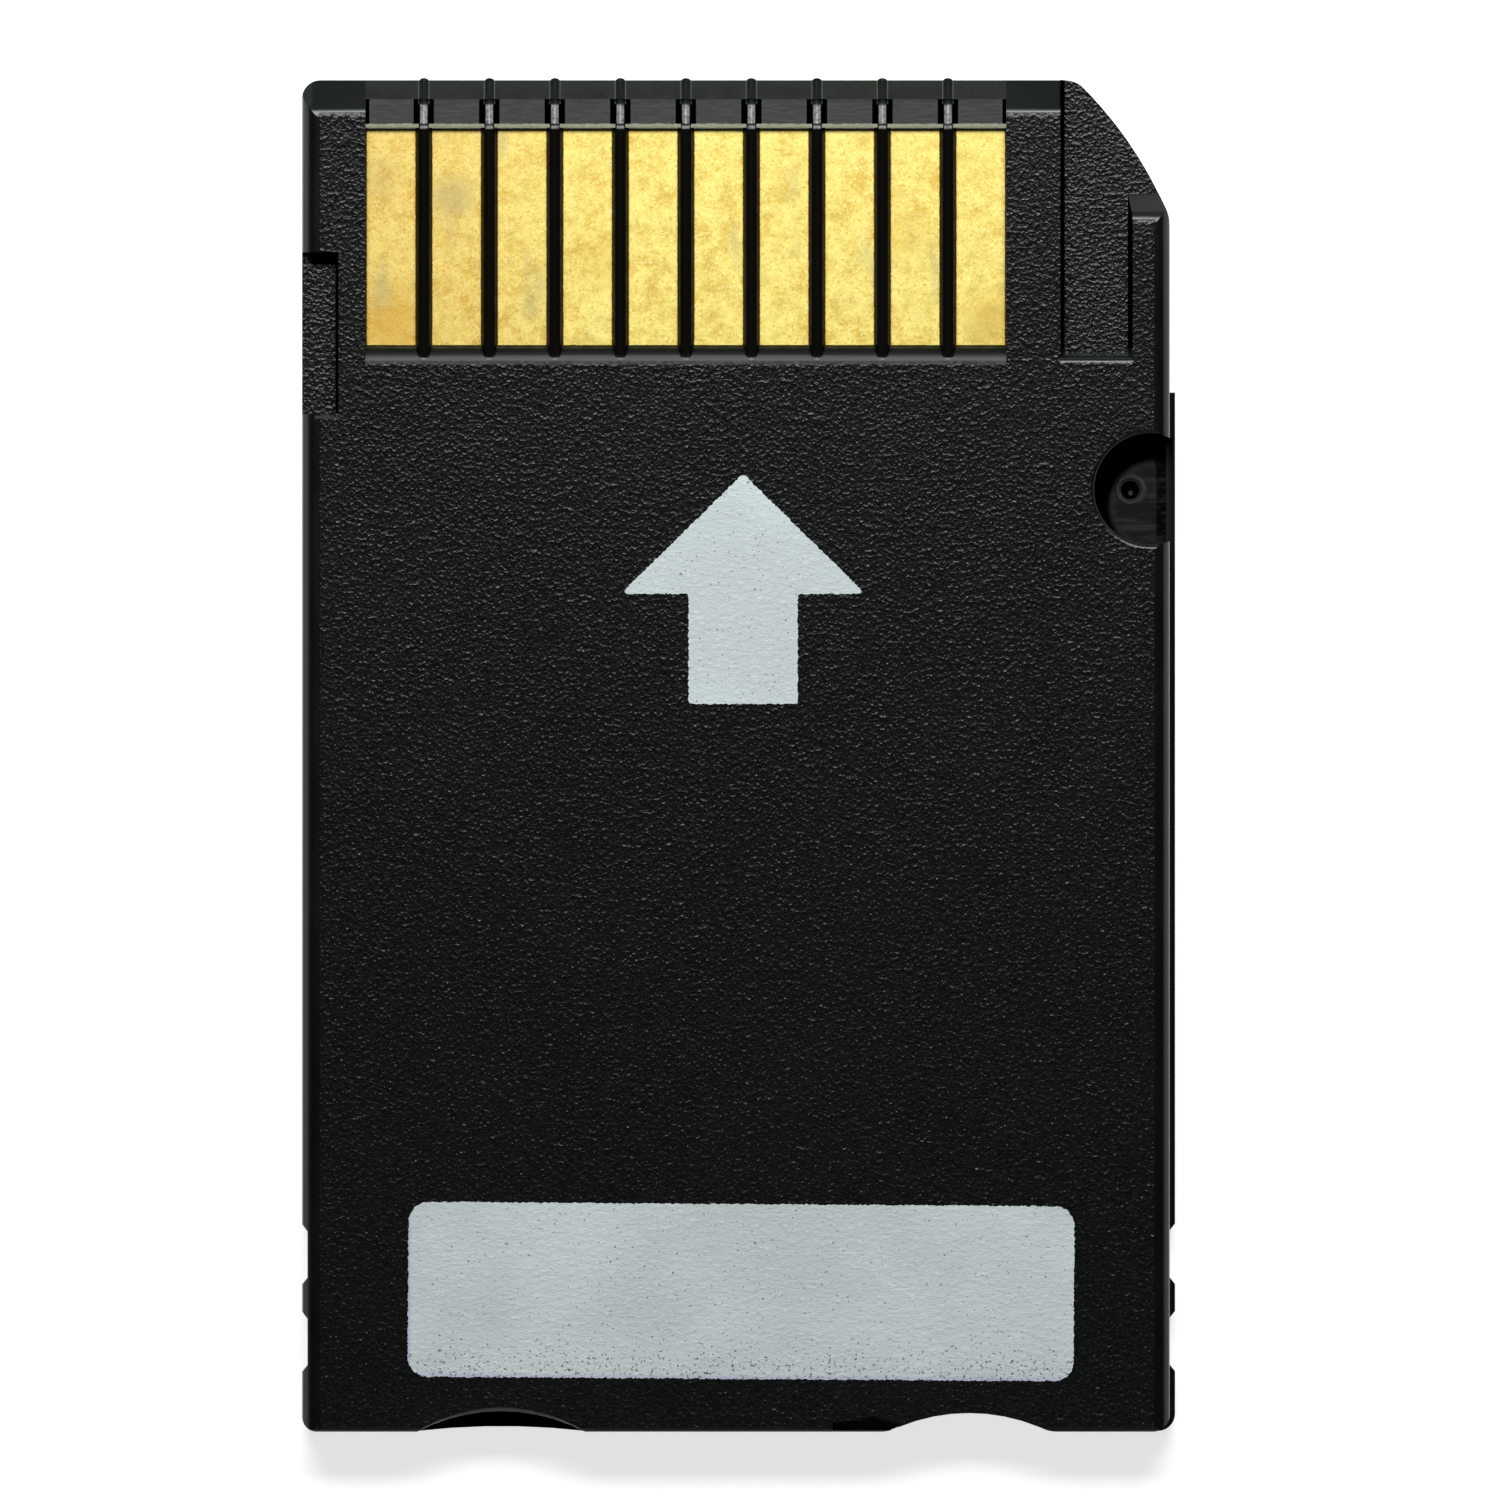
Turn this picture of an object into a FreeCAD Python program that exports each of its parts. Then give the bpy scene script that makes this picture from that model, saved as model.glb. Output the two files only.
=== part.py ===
import FreeCAD, Part
import math
import os
import re
import Sketcher

# A small memory card, 31.0 x 20.0 x 1.6 mm: two moulded half shells welded at mid height, a circuit
# board between them with ten gold contacts, and the chips that hang under the board.
#
# The card lies on its label side with the contacts up. +Z is up, +Y points to the contact end and
# +X to the side with the keyed corner. The origin is the centre of the face it lies on.

# Driving sizes, in millimetres. Each has a name, a value and what it sets.
SIZES = [
    ("card_width", 20.0, "over the flange of the top cover"),
    ("card_length", 31.0, "from the rear edge to the noses of the ribs"),
    ("card_thickness", 1.6, "from the label face to the contact face"),
    ("cover_height", 0.8, "height of the plane where the two shells meet"),
    ("flange_width", 0.13, "how far the cover's right flange stands out past the back shell"),
    ("flange_setback", 4.0, "front end of that flange behind the keyed corner"),
    ("front_corner_radius", 0.42, "left corner at the contact end"),
    ("rear_left_radius", 0.35, "left corner at the rear"),
    ("rear_right_radius", 0.4, "right corner at the rear"),
    ("key_width", 2.15, "keyed corner, measured along the front edge"),
    ("key_length", 3.15, "keyed corner, measured along the right side"),
    ("key_radius", 9.2, "the bowed face of the keyed corner"),
    ("key_front_round", 0.6, "where that face meets the front edge"),
    ("key_side_round", 0.9, "where that face meets the side"),
    ("side_edge_radius", 0.36, "rounding of the long edges"),
    ("end_edge_radius", 0.12, "rounding of the rear edges"),
    ("bevel_height", 0.5, "front bevel, drop from the contact face"),
    ("bevel_length", 0.72, "front bevel, measured along the card"),
    ("cover_bevel", 0.35, "front bevel of the cover, on the label side"),
    ("contact_count", 10, "number of contacts"),
    ("contact_pitch", 1.5, "from one contact to the next"),
    ("contact_width", 1.13, "width of a contact"),
    ("contact_length", 4.92, "length of a contact"),
    ("contact_film", 0.03, "thickness of a contact above the board"),
    ("contact_depth", 0.3, "contacts, below the contact face"),
    ("contact_setback", 1.15, "front end of the contacts behind the front edge"),
    ("row_margin", 1.455, "from the card's left side to the window over the contacts"),
    ("window_clearance", 0.02, "round the contacts, to the walls and the lip"),
    ("window_rear_gap", 0.08, "strip of board behind the contacts"),
    ("window_slope", 0.25, "run of the sloping rear wall of the window"),
    ("window_sill", 0.18, "foot of that slope, below the contact face"),
    ("lip_depth", 0.08, "crest of the lip in front of the contacts, below the contact face"),
    ("lip_fall", 0.115, "how far the lip slopes down from its crest to the front edge"),
    ("lip_round", 0.12, "rounded rear edge of the lip"),
    ("slot_width", 0.47, "slots in the lip that the ribs stand in"),
    ("slot_length", 0.57, "slots, along the card, in front of the lip's rounding"),
    ("slot_depth", 0.28, "slots, below the contact face"),
    ("slit_width", 0.09, "slit like them at each end of the lip"),
    ("ridge_round", 0.45, "ridges where the sloping faces meet the contact face"),
    ("lip_overlap", 0.25, "how far the lip covers the board's front end"),
    ("rib_width", 0.33, "guide rib between two contacts"),
    ("rib_shoulder", 0.14, "width of the two facets along each shoulder of a rib"),
    ("rib_drop", 0.03, "top of the ribs below the contact face"),
    ("rib_end", 0.15, "how far the ribs reach into the window's rear slope"),
    ("rib_ramp", 0.55, "length of the gentle ramp at the front of a rib"),
    ("rib_ramp_drop", 0.12, "how far that ramp falls"),
    ("rib_nose", 0.05, "how far the ribs stand out past the front edge"),
    ("rib_front_width", 0.22, "width of a rib on the front bevel"),
    ("rib_stand", 0.06, "height of a rib above the front bevel"),
    ("pocket_width", 1.66, "pocket beside the keyed corner"),
    ("pocket_length", 6.35, "pocket, from the front edge"),
    ("pocket_depth", 0.5, "pocket, below the contact face"),
    ("pocket_taper", 12, "slope of the pocket's walls, in degrees"),
    ("pocket_rim", 0.2, "rounding of the pocket's rear rim"),
    ("block_width", 0.85, "block between the pocket and the right side"),
    ("block_setback", 2.6, "front end of that block behind the front edge"),
    ("block_bevel", 0.53, "run of the block's sloping front"),
    ("ledge_width", 0.84, "ledge in the left side"),
    ("ledge_length", 3.7, "ledge, along the side"),
    ("ledge_setback", 3.95, "front end of the ledge behind the front edge"),
    ("ledge_depth", 0.45, "ledge, below the contact face"),
    ("lock_radius", 1.27, "round lock notch in the right side"),
    ("lock_inset", 0.45, "its centre, inside the back shell's edge"),
    ("lock_setback", 9.38, "its centre, behind the front edge"),
    ("lock_rim", 0.1, "rounding of the notch's rim"),
    ("lock_wall", 0.45, "wall between the notch and the room for the board"),
    ("groove_width", 0.4, "sloping groove along the notch's floor"),
    ("groove_wall", 0.06, "what the groove leaves of the flange"),
    ("groove_depth", 0.4, "depth of that groove"),
    ("ring_inset", 0.45, "raised ring on the notch's floor, from the notch's centre"),
    ("ring_radius", 0.37, "outside radius of the ring"),
    ("ring_hole", 0.23, "inside radius of the ring"),
    ("ring_bevel", 0.05, "run of its sloping sides"),
    ("ring_height", 0.04, "height of the ring and of the cone inside it"),
    ("ring_cone", 0.08, "radius of that cone"),
    ("grip_count", 2, "grip notches in each long side"),
    ("grip_pitch", 2.0, "from one grip notch to the next"),
    ("grip_length", 1.38, "length of a grip notch"),
    ("grip_slope", 0.16, "run of its sloping ends"),
    ("grip_start", 4.75, "front end of the first notch, from the rear edge"),
    ("scoop_offset", 5.44, "finger scoop, left of the centre line"),
    ("scoop_width", 3.85, "finger scoop, along the rear edge"),
    ("scoop_depth", 0.5, "finger scoop at the contact face"),
    ("scoop_foot", 0.11, "finger scoop where the shells meet, and in the cover"),
    ("scoop_bevel", 0.06, "bevelled lip of the scoop"),
    ("notch_offset", 5.27, "finger notch, right of the centre line"),
    ("notch_width", 3.7, "finger notch, along the rear edge"),
    ("notch_depth", 0.43, "finger notch, into the card"),
    ("notch_shoulder", 0.8, "rounding of the notch's shoulders"),
    ("nick_offset", 3.02, "torn moulding mark, right of the centre line"),
    ("nick_width", 1.5, "torn mark, along the rear edge"),
    ("nick_length", 0.36, "torn mark, into the card"),
    ("nick_depth", 0.45, "torn mark, below the contact face"),
    ("cover_wall", 0.25, "thickness of the cover under the chips"),
    ("board_thickness", 0.3, "circuit board"),
    ("board_clearance", 0.05, "round the board, inside the back shell"),
    ("board_corner", 0.3, "rounded corners of the board"),
    ("side_wall", 1.15, "from the card's sides to the room for the board"),
    ("rear_wall", 1.15, "from the rear edge to the room for the board"),
    ("pocket_wall", 0.57, "between the pocket and the room for the board"),
    ("clamp_width", 0.35, "tongue of the cover that clamps the board's rim"),
    ("label_margin", 1.1, "label recess, inside the card's sides and rear edge"),
    ("label_length", 22.4, "label recess, along the card"),
    ("label_depth", 0.08, "label recess"),
    ("label_radius", 0.6, "label recess, corners"),
    ("arrow_width", 2.6, "moulded insertion arrow on the label side"),
    ("arrow_length", 1.6, "moulded arrow, along the card"),
    ("arrow_setback", 2.9, "tip of the arrow behind the front edge"),
    ("arrow_depth", 0.1, "moulded arrow"),
    ("chip_gap", 0.07, "between the chips and the cover's floor"),
    ("memory_end_room", 0.45, "in front of and behind its leads, inside the tongue"),
    ("memory_standoff", 0.05, "between the memory package and the board"),
    ("lead_reach", 0.8, "how far the leads reach past the package"),
    ("lead_width", 0.22, "width of a lead"),
    ("lead_gauge", 0.1, "thickness of a lead"),
    ("lead_foot", 0.45, "length of a lead's flat foot"),
    ("lead_pitch", 0.5, "from one lead to the next"),
    ("lead_count", 24, "leads at each end"),
    ("controller_size", 7.0, "side of the square controller"),
    ("chip_chamfer", 0.12, "bevelled lower edges of the chips"),
    ("mark_radius", 0.35, "dimple that marks the first lead"),
    ("mark_depth", 0.06, "depth of that dimple"),
    ("part_length", 1.0, "small parts, long side"),
    ("part_width", 0.5, "small parts, short side"),
    ("part_cap", 0.2, "metal end caps of the small parts"),
    ("part_skin", 0.02, "how far the end caps stand out"),
    ("capacitor_height", 0.5, "capacitors, below the board"),
    ("resistor_height", 0.35, "resistors, below the board"),
    ("fuse_height", 0.45, "fuse, below the board"),
    ("part_pitch", 2.0, "from one small part to the next"),
    ("margin", 1.0, "how far cutting shapes reach past the surface that they cut"),
]
ALIASES = {name for name, _, _ in SIZES}

# The places of the cross-sections round the two ends of a rib, as degrees of a quarter turn.
RIB_END_TURNS = (15, 40, 65, 90)
RIB_NOSE_TURNS = (0, 40, 75)

# The corners of the torn moulding mark, as shares of its width and length.
TORN_MARK = ((-0.58, 0.11), (0.42, 0.11), (0.42, 0.55), (0, 1), (-0.25, 0.72), (-0.58, 0.6))

PARTS_IN_COLUMN = 4

# Places worked out from the driving sizes.
FRONT = "(card_length / 2 - rib_nose)"
REAR = "(-card_length / 2)"
LEFT = "(-card_width / 2)"
RIGHT = "(card_width / 2)"
SHELL_RIGHT = "(card_width / 2 - flange_width)"
KEY_FRONT = f"({SHELL_RIGHT} - key_width)"
KEY_SIDE = f"({FRONT} - key_length)"
FLANGE_END = f"({KEY_SIDE} - flange_setback)"
TOP = "card_thickness"
BOARD_TOP = "(card_thickness - contact_depth - contact_film)"
BOARD_UNDER = f"({BOARD_TOP} - board_thickness)"
CHIP_UNDER = "(cover_wall + chip_gap)"
CONTACT_FRONT = f"({FRONT} - contact_setback)"
CONTACT_REAR = f"({CONTACT_FRONT} - contact_length)"
WINDOW_HALF = "((contact_count - 1) * contact_pitch / 2 + contact_width / 2 + window_clearance)"
ROW_CENTRE = f"({LEFT} + row_margin + {WINDOW_HALF})"
FIRST_RIB = f"({ROW_CENTRE} - (contact_count - 2) * contact_pitch / 2)"
WINDOW_REAR = f"({CONTACT_REAR} - window_rear_gap)"
LIP_REAR = f"({CONTACT_FRONT} + window_clearance)"
LIP_TOP = f"({TOP} - lip_depth)"
RIB_TOP = f"({TOP} - rib_drop)"
POCKET_RIGHT = f"({SHELL_RIGHT} - block_width)"
POCKET_LEFT = f"({POCKET_RIGHT} - pocket_width)"
POCKET_REAR = f"({FRONT} - pocket_length)"
LOCK_ACROSS = f"({SHELL_RIGHT} - lock_inset)"
LOCK_ALONG = f"({FRONT} - lock_setback)"
BOARD_LEFT = f"({LEFT} + side_wall + board_clearance)"
BOARD_RIGHT = f"({RIGHT} - side_wall - board_clearance)"
BOARD_REAR = f"({REAR} + rear_wall + board_clearance)"
BOARD_FRONT = f"({LIP_REAR} + lip_overlap)"
BOARD_NECK = f"({POCKET_LEFT} - pocket_wall - board_clearance)"
BOARD_STEP = f"({LOCK_ALONG} - lock_radius - lock_wall - board_clearance)"
MEMORY_ALONG = f"(({BOARD_STEP} + {BOARD_REAR}) / 2)"
MEMORY_REACH = f"(({BOARD_STEP} - {BOARD_REAR}) / 2 - clamp_width - memory_end_room)"
MEMORY_HALF_LENGTH = f"({MEMORY_REACH} - lead_reach)"
MEMORY_HALF_WIDTH = "(lead_count * lead_pitch / 2)"
CONTROLLER_ACROSS = f"(({BOARD_NECK} + {BOARD_LEFT}) / 2)"
CONTROLLER_ALONG = f"(({BOARD_FRONT} + {BOARD_STEP}) / 2)"
PART_COLUMN = f"((({BOARD_NECK} - {BOARD_LEFT}) / 2 - clamp_width + controller_size / 2) / 2)"

document = FreeCAD.newDocument("MemoryCard")
sheet = document.addObject("Spreadsheet::Sheet", "Sizes")
for row, (name, size, note) in enumerate(SIZES, start=1):
    sheet.set(f"A{row}", name)
    sheet.set(f"B{row}", str(size))
    sheet.setAlias(f"B{row}", name)
    sheet.set(f"C{row}", note)
document.recompute()


def cells(formula):
    """The formula with each size replaced by its cell in the sheet."""
    return re.sub(r"[a-z_]+", lambda word: f"Sizes.{word[0]}" if word[0] in ALIASES else word[0], formula)


def number(formula):
    """What the formula comes to with the sizes now in the sheet."""
    return float(sheet.evalExpression(cells(formula)))


def bind(feature, property_name, formula):
    feature.setExpression(property_name, cells(formula))


def new_body(node):
    body = document.addObject("PartDesign::Body", node)
    body.Label = node
    return body


def origin_feature(body, role):
    return next(feature for feature in body.Origin.OriginFeatures if feature.Role == role)


def new_sketch(body, name, plane="XY_Plane", offset="0"):
    """An empty sketch on one of the body's own planes, moved along that plane's normal."""
    sketch = body.newObject("Sketcher::SketchObject", name)
    sketch.AttachmentSupport = [(origin_feature(body, plane), "")]
    sketch.MapMode = "FlatFace"
    bind(sketch, ".AttachmentOffset.Base.z", offset)
    return sketch


def arc_between(start, end, radius, bulge):
    """The short arc between two points that bulges to the left or right of the way along it."""
    middle = (start + end) / 2
    chord = end - start
    left = FreeCAD.Vector(-chord.y, chord.x, 0).normalize()
    rise = math.sqrt(radius ** 2 - (chord.Length / 2) ** 2)
    centre = middle + left * (rise if bulge == "right" else -rise)
    first, last = (start, end) if bulge == "right" else (end, start)
    angles = [math.atan2((point - centre).y, (point - centre).x) for point in (first, last)]
    circle = Part.Circle(centre, FreeCAD.Vector(0, 0, 1), radius)
    return Part.ArcOfCircle(circle, angles[0], angles[1])


def add_outline(sketch, corners, arcs=None):
    """A closed outline whose corners, and the radii of whose arcs, follow their formulas.

    arcs gives, for a corner's index, the radius and the bulge of the side that starts there.
    """
    arcs = arcs or {}
    points = [FreeCAD.Vector(number(x), number(y), 0) for x, y in corners]
    start_of = []
    end_of = []
    for index, point in enumerate(points):
        following = points[(index + 1) % len(points)]
        if index in arcs:
            radius, bulge = arcs[index]
            side = sketch.addGeometry(arc_between(point, following, number(radius), bulge), False)
            fixed = sketch.addConstraint(Sketcher.Constraint("Radius", side, number(radius)))
            bind(sketch, f"Constraints[{fixed}]", radius)
            ends = (1, 2) if bulge == "right" else (2, 1)
        else:
            side = sketch.addGeometry(Part.LineSegment(point, following), False)
            ends = (1, 2)
        start_of.append((side, ends[0]))
        end_of.append((side, ends[1]))
    for index, (x, y) in enumerate(corners):
        sketch.addConstraint(Sketcher.Constraint("Coincident", *end_of[index - 1], *start_of[index]))
        for kind, formula in (("DistanceX", x), ("DistanceY", y)):
            fixed = sketch.addConstraint(Sketcher.Constraint(kind, -1, 1, *start_of[index], number(formula)))
            bind(sketch, f"Constraints[{fixed}]", formula)


def add_circle(sketch, x, y, radius):
    centre = FreeCAD.Vector(number(x), number(y), 0)
    side = sketch.addGeometry(Part.Circle(centre, FreeCAD.Vector(0, 0, 1), number(radius)), False)
    for kind, formula in (("DistanceX", x), ("DistanceY", y)):
        fixed = sketch.addConstraint(Sketcher.Constraint(kind, -1, 1, side, 3, number(formula)))
        bind(sketch, f"Constraints[{fixed}]", formula)
    fixed = sketch.addConstraint(Sketcher.Constraint("Radius", side, number(radius)))
    bind(sketch, f"Constraints[{fixed}]", radius)


def outline(body, name, corners, arcs=None, plane="XY_Plane", offset="0"):
    sketch = new_sketch(body, name, plane, offset)
    add_outline(sketch, corners, arcs)
    return sketch


def rectangle(left, right, low, high):
    return [(left, low), (right, low), (right, high), (left, high)]


def pad(body, name, sketch, length, both_ways=False, reverse=False):
    """Adds the sketch drawn out along its normal, and checks that the body grew."""
    document.recompute()
    before = body.Shape.Volume if body.Tip else 0
    feature = body.newObject("PartDesign::Pad", name)
    feature.Profile = sketch
    feature.Reversed = reverse
    feature.SideType = "Symmetric" if both_ways else "One side"
    bind(feature, "Length", length)
    document.recompute()
    if body.Shape.Volume <= before:
        raise RuntimeError(f"{name} adds nothing")
    return feature


def cut(body, name, sketch, length, both_ways=False, reverse=False, taper=None):
    """Cuts the sketch against its normal, and checks that the body lost material."""
    document.recompute()
    before = body.Shape.Volume
    feature = body.newObject("PartDesign::Pocket", name)
    feature.Profile = sketch
    feature.Reversed = reverse
    feature.SideType = "Symmetric" if both_ways else "One side"
    bind(feature, "Length", length)
    if taper:
        bind(feature, "TaperAngle", taper)
    document.recompute()
    if body.Shape.Volume >= before:
        raise RuntimeError(f"{name} cuts nothing")
    return feature


def ridge_ends(foot, run, drop, radius="ridge_round"):
    """Where the round ridge between the contact face and a slope that falls to foot starts and ends."""
    angle = f"atan({drop} / {run})"
    reach = f"({radius} * tan({angle} / 2))"
    ridge = f"({foot} - {run})"
    start = (f"({ridge} - {reach})", TOP)
    end = (f"({ridge} + {reach} * cos({angle}))", f"({TOP} - {reach} * sin({angle}))")
    return start, end


def bevel_outline(body, name, foot, run, drop, offset):
    """The cutter, seen from the side, of a slope that rises from foot to a rounded ridge at the top."""
    start, end = ridge_ends(foot, run, drop)
    low = f"({TOP} - {drop})"
    high = f"({TOP} + margin)"
    ahead = f"({FRONT} + margin)"
    corners = [(foot, low), (ahead, low), (ahead, high), (start[0], high), start, end]
    return outline(body, name, corners, {4: ("ridge_round", "left")}, "YZ_Plane", offset)


def upright_edge(feature, x, y):
    """The name of the feature's upright edge that stands at x, y."""
    foot = FreeCAD.Vector(number(x), number(y), 0)
    for index, edge in enumerate(feature.Shape.Edges, start=1):
        ends = [FreeCAD.Vector(vertex.X, vertex.Y, 0) for vertex in edge.Vertexes]
        if len(ends) == 2 and all(end.isEqual(foot, 0.001) for end in ends):
            return f"Edge{index}"
    raise RuntimeError(f"no upright edge at {foot}")


def round_upright(body, name, x, y, radius):
    """Rounds the upright edge of the body's last feature that stands at x, y."""
    base = body.Tip
    feature = body.newObject("PartDesign::Fillet", name)
    feature.Base = (base, [upright_edge(base, x, y)])
    bind(feature, "Radius", radius)
    document.recompute()
    return feature


def round_card_corners(body, right):
    """Rounds the five upright corners of a shell."""
    for name, x, y, radius in (
        ("FrontLeftCorner", LEFT, FRONT, "front_corner_radius"),
        ("RearLeftCorner", LEFT, REAR, "rear_left_radius"),
        ("RearRightCorner", right, REAR, "rear_right_radius"),
        ("KeyFrontCorner", KEY_FRONT, FRONT, "key_front_round"),
        ("KeySideCorner", SHELL_RIGHT, KEY_SIDE, "key_side_round"),
    ):
        round_upright(body, name, x, y, radius)


def round_long_edge(body, name, edge, face, inward, upward, radius, plane="XZ_Plane"):
    """Rounds a straight edge all along the card with a concave cutter.

    edge and face are the places of the side and of the top or bottom face that meet there.
    inward and upward are +1 or -1: towards the card's middle, and out of that face.
    """
    side = f"({edge} - {inward} * margin)"
    above = f"({face} + {upward} * margin)"
    foot = f"({face} - {upward} * {radius})"
    shoulder = f"({edge} + {inward} * {radius})"
    corners = [(edge, foot), (shoulder, face), (shoulder, above), (side, above), (side, foot)]
    bulge = "left" if inward == upward else "right"
    sketch = outline(body, f"{name}Sketch", corners, {0: (radius, bulge)}, plane)
    cut(body, name, sketch, "2 * card_length", both_ways=True)


def board_outline(growth="0"):
    """The board's six corners, moved outward by growth."""
    left = f"({BOARD_LEFT} - ({growth}))"
    right = f"({BOARD_RIGHT} + ({growth}))"
    neck = f"({BOARD_NECK} + ({growth}))"
    rear = f"({BOARD_REAR} - ({growth}))"
    step = f"({BOARD_STEP} + ({growth}))"
    front = f"({BOARD_FRONT} + ({growth}))"
    return [(left, rear), (right, rear), (right, step), (neck, step), (neck, front), (left, front)]


def scoop_arc(body, name, depth, offset):
    """A finger scoop's outline at one height: an arc of the scoop's width, open to the rear."""
    half = "scoop_width / 2"
    left = f"(-scoop_offset - {half})"
    right = f"(-scoop_offset + {half})"
    behind = f"({REAR} - margin)"
    radius = f"((({half}) ^ 2 + {depth} ^ 2) / (2 * {depth}))"
    corners = [(right, REAR), (left, REAR), (left, behind), (right, behind)]
    return outline(body, name, corners, {0: (radius, "right")}, offset=offset)


def cut_finger_notch(body, base):
    """Cuts the finger notch through a shell and rounds its shoulders."""
    half = "notch_width / 2"
    left = f"(notch_offset - {half})"
    right = f"(notch_offset + {half})"
    behind = f"({REAR} - margin)"
    radius = f"((({half}) ^ 2 + notch_depth ^ 2) / (2 * notch_depth))"
    corners = [(right, REAR), (left, REAR), (left, behind), (right, behind)]
    sketch = outline(body, "FingerNotchSketch", corners, {0: (radius, "right")}, offset=base)
    cut(body, "FingerNotch", sketch, "card_thickness", reverse=True)
    round_upright(body, "NotchLeftShoulder", left, REAR, "notch_shoulder")
    round_upright(body, "NotchRightShoulder", right, REAR, "notch_shoulder")


def cut_grips(body, name, side, inward, base, reverse):
    """Cuts a row of grip notches into a long side."""
    outside = f"({side} - {inward} * margin)"
    floor = f"({side} + {inward} * flange_width)"
    front = f"({REAR} + grip_start)"
    rear = f"({front} - grip_length)"
    corners = [
        (outside, front), (side, front), (floor, f"({front} - grip_slope)"),
        (floor, f"({rear} + grip_slope)"), (side, rear), (outside, rear),
    ]
    sketch = outline(body, f"{name}Sketch", corners, offset=base)
    notch = cut(body, name, sketch, "card_thickness", reverse=reverse)
    row = body.newObject("PartDesign::LinearPattern", f"{name}Row")
    row.Originals = [notch]
    row.Direction = (origin_feature(body, "Y_Axis"), [""])
    row.Reversed = True
    bind(row, "Length", "(grip_count - 1) * grip_pitch")
    bind(row, "Occurrences", "grip_count")
    body.Tip = row
    document.recompute()


def repeat_across(body, name, features):
    """Repeats features of the first rib at every rib."""
    row = body.newObject("PartDesign::LinearPattern", name)
    row.Originals = features
    row.Direction = (origin_feature(body, "X_Axis"), [""])
    bind(row, "Length", "(contact_count - 2) * contact_pitch")
    bind(row, "Occurrences", "contact_count - 1")
    body.Tip = row
    document.recompute()


def revolve(body, name, corners, arcs, across, along, groove=False):
    """Turns an outline in an upright plane about the upright axis at across, along."""
    sketch = outline(body, f"{name}Sketch", corners, arcs, "XZ_Plane", f"(-{along})")
    bind(sketch, ".AttachmentOffset.Base.x", across)
    document.recompute()
    before = body.Shape.Volume
    kind = "Groove" if groove else "Revolution"
    turned = body.newObject(f"PartDesign::{kind}", name)
    turned.Profile = sketch
    turned.ReferenceAxis = (sketch, ["V_Axis"])
    turned.Angle = 360
    document.recompute()
    if (body.Shape.Volume - before) * (-1 if groove else 1) <= 0:
        raise RuntimeError(f"{name} changes nothing")


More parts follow.
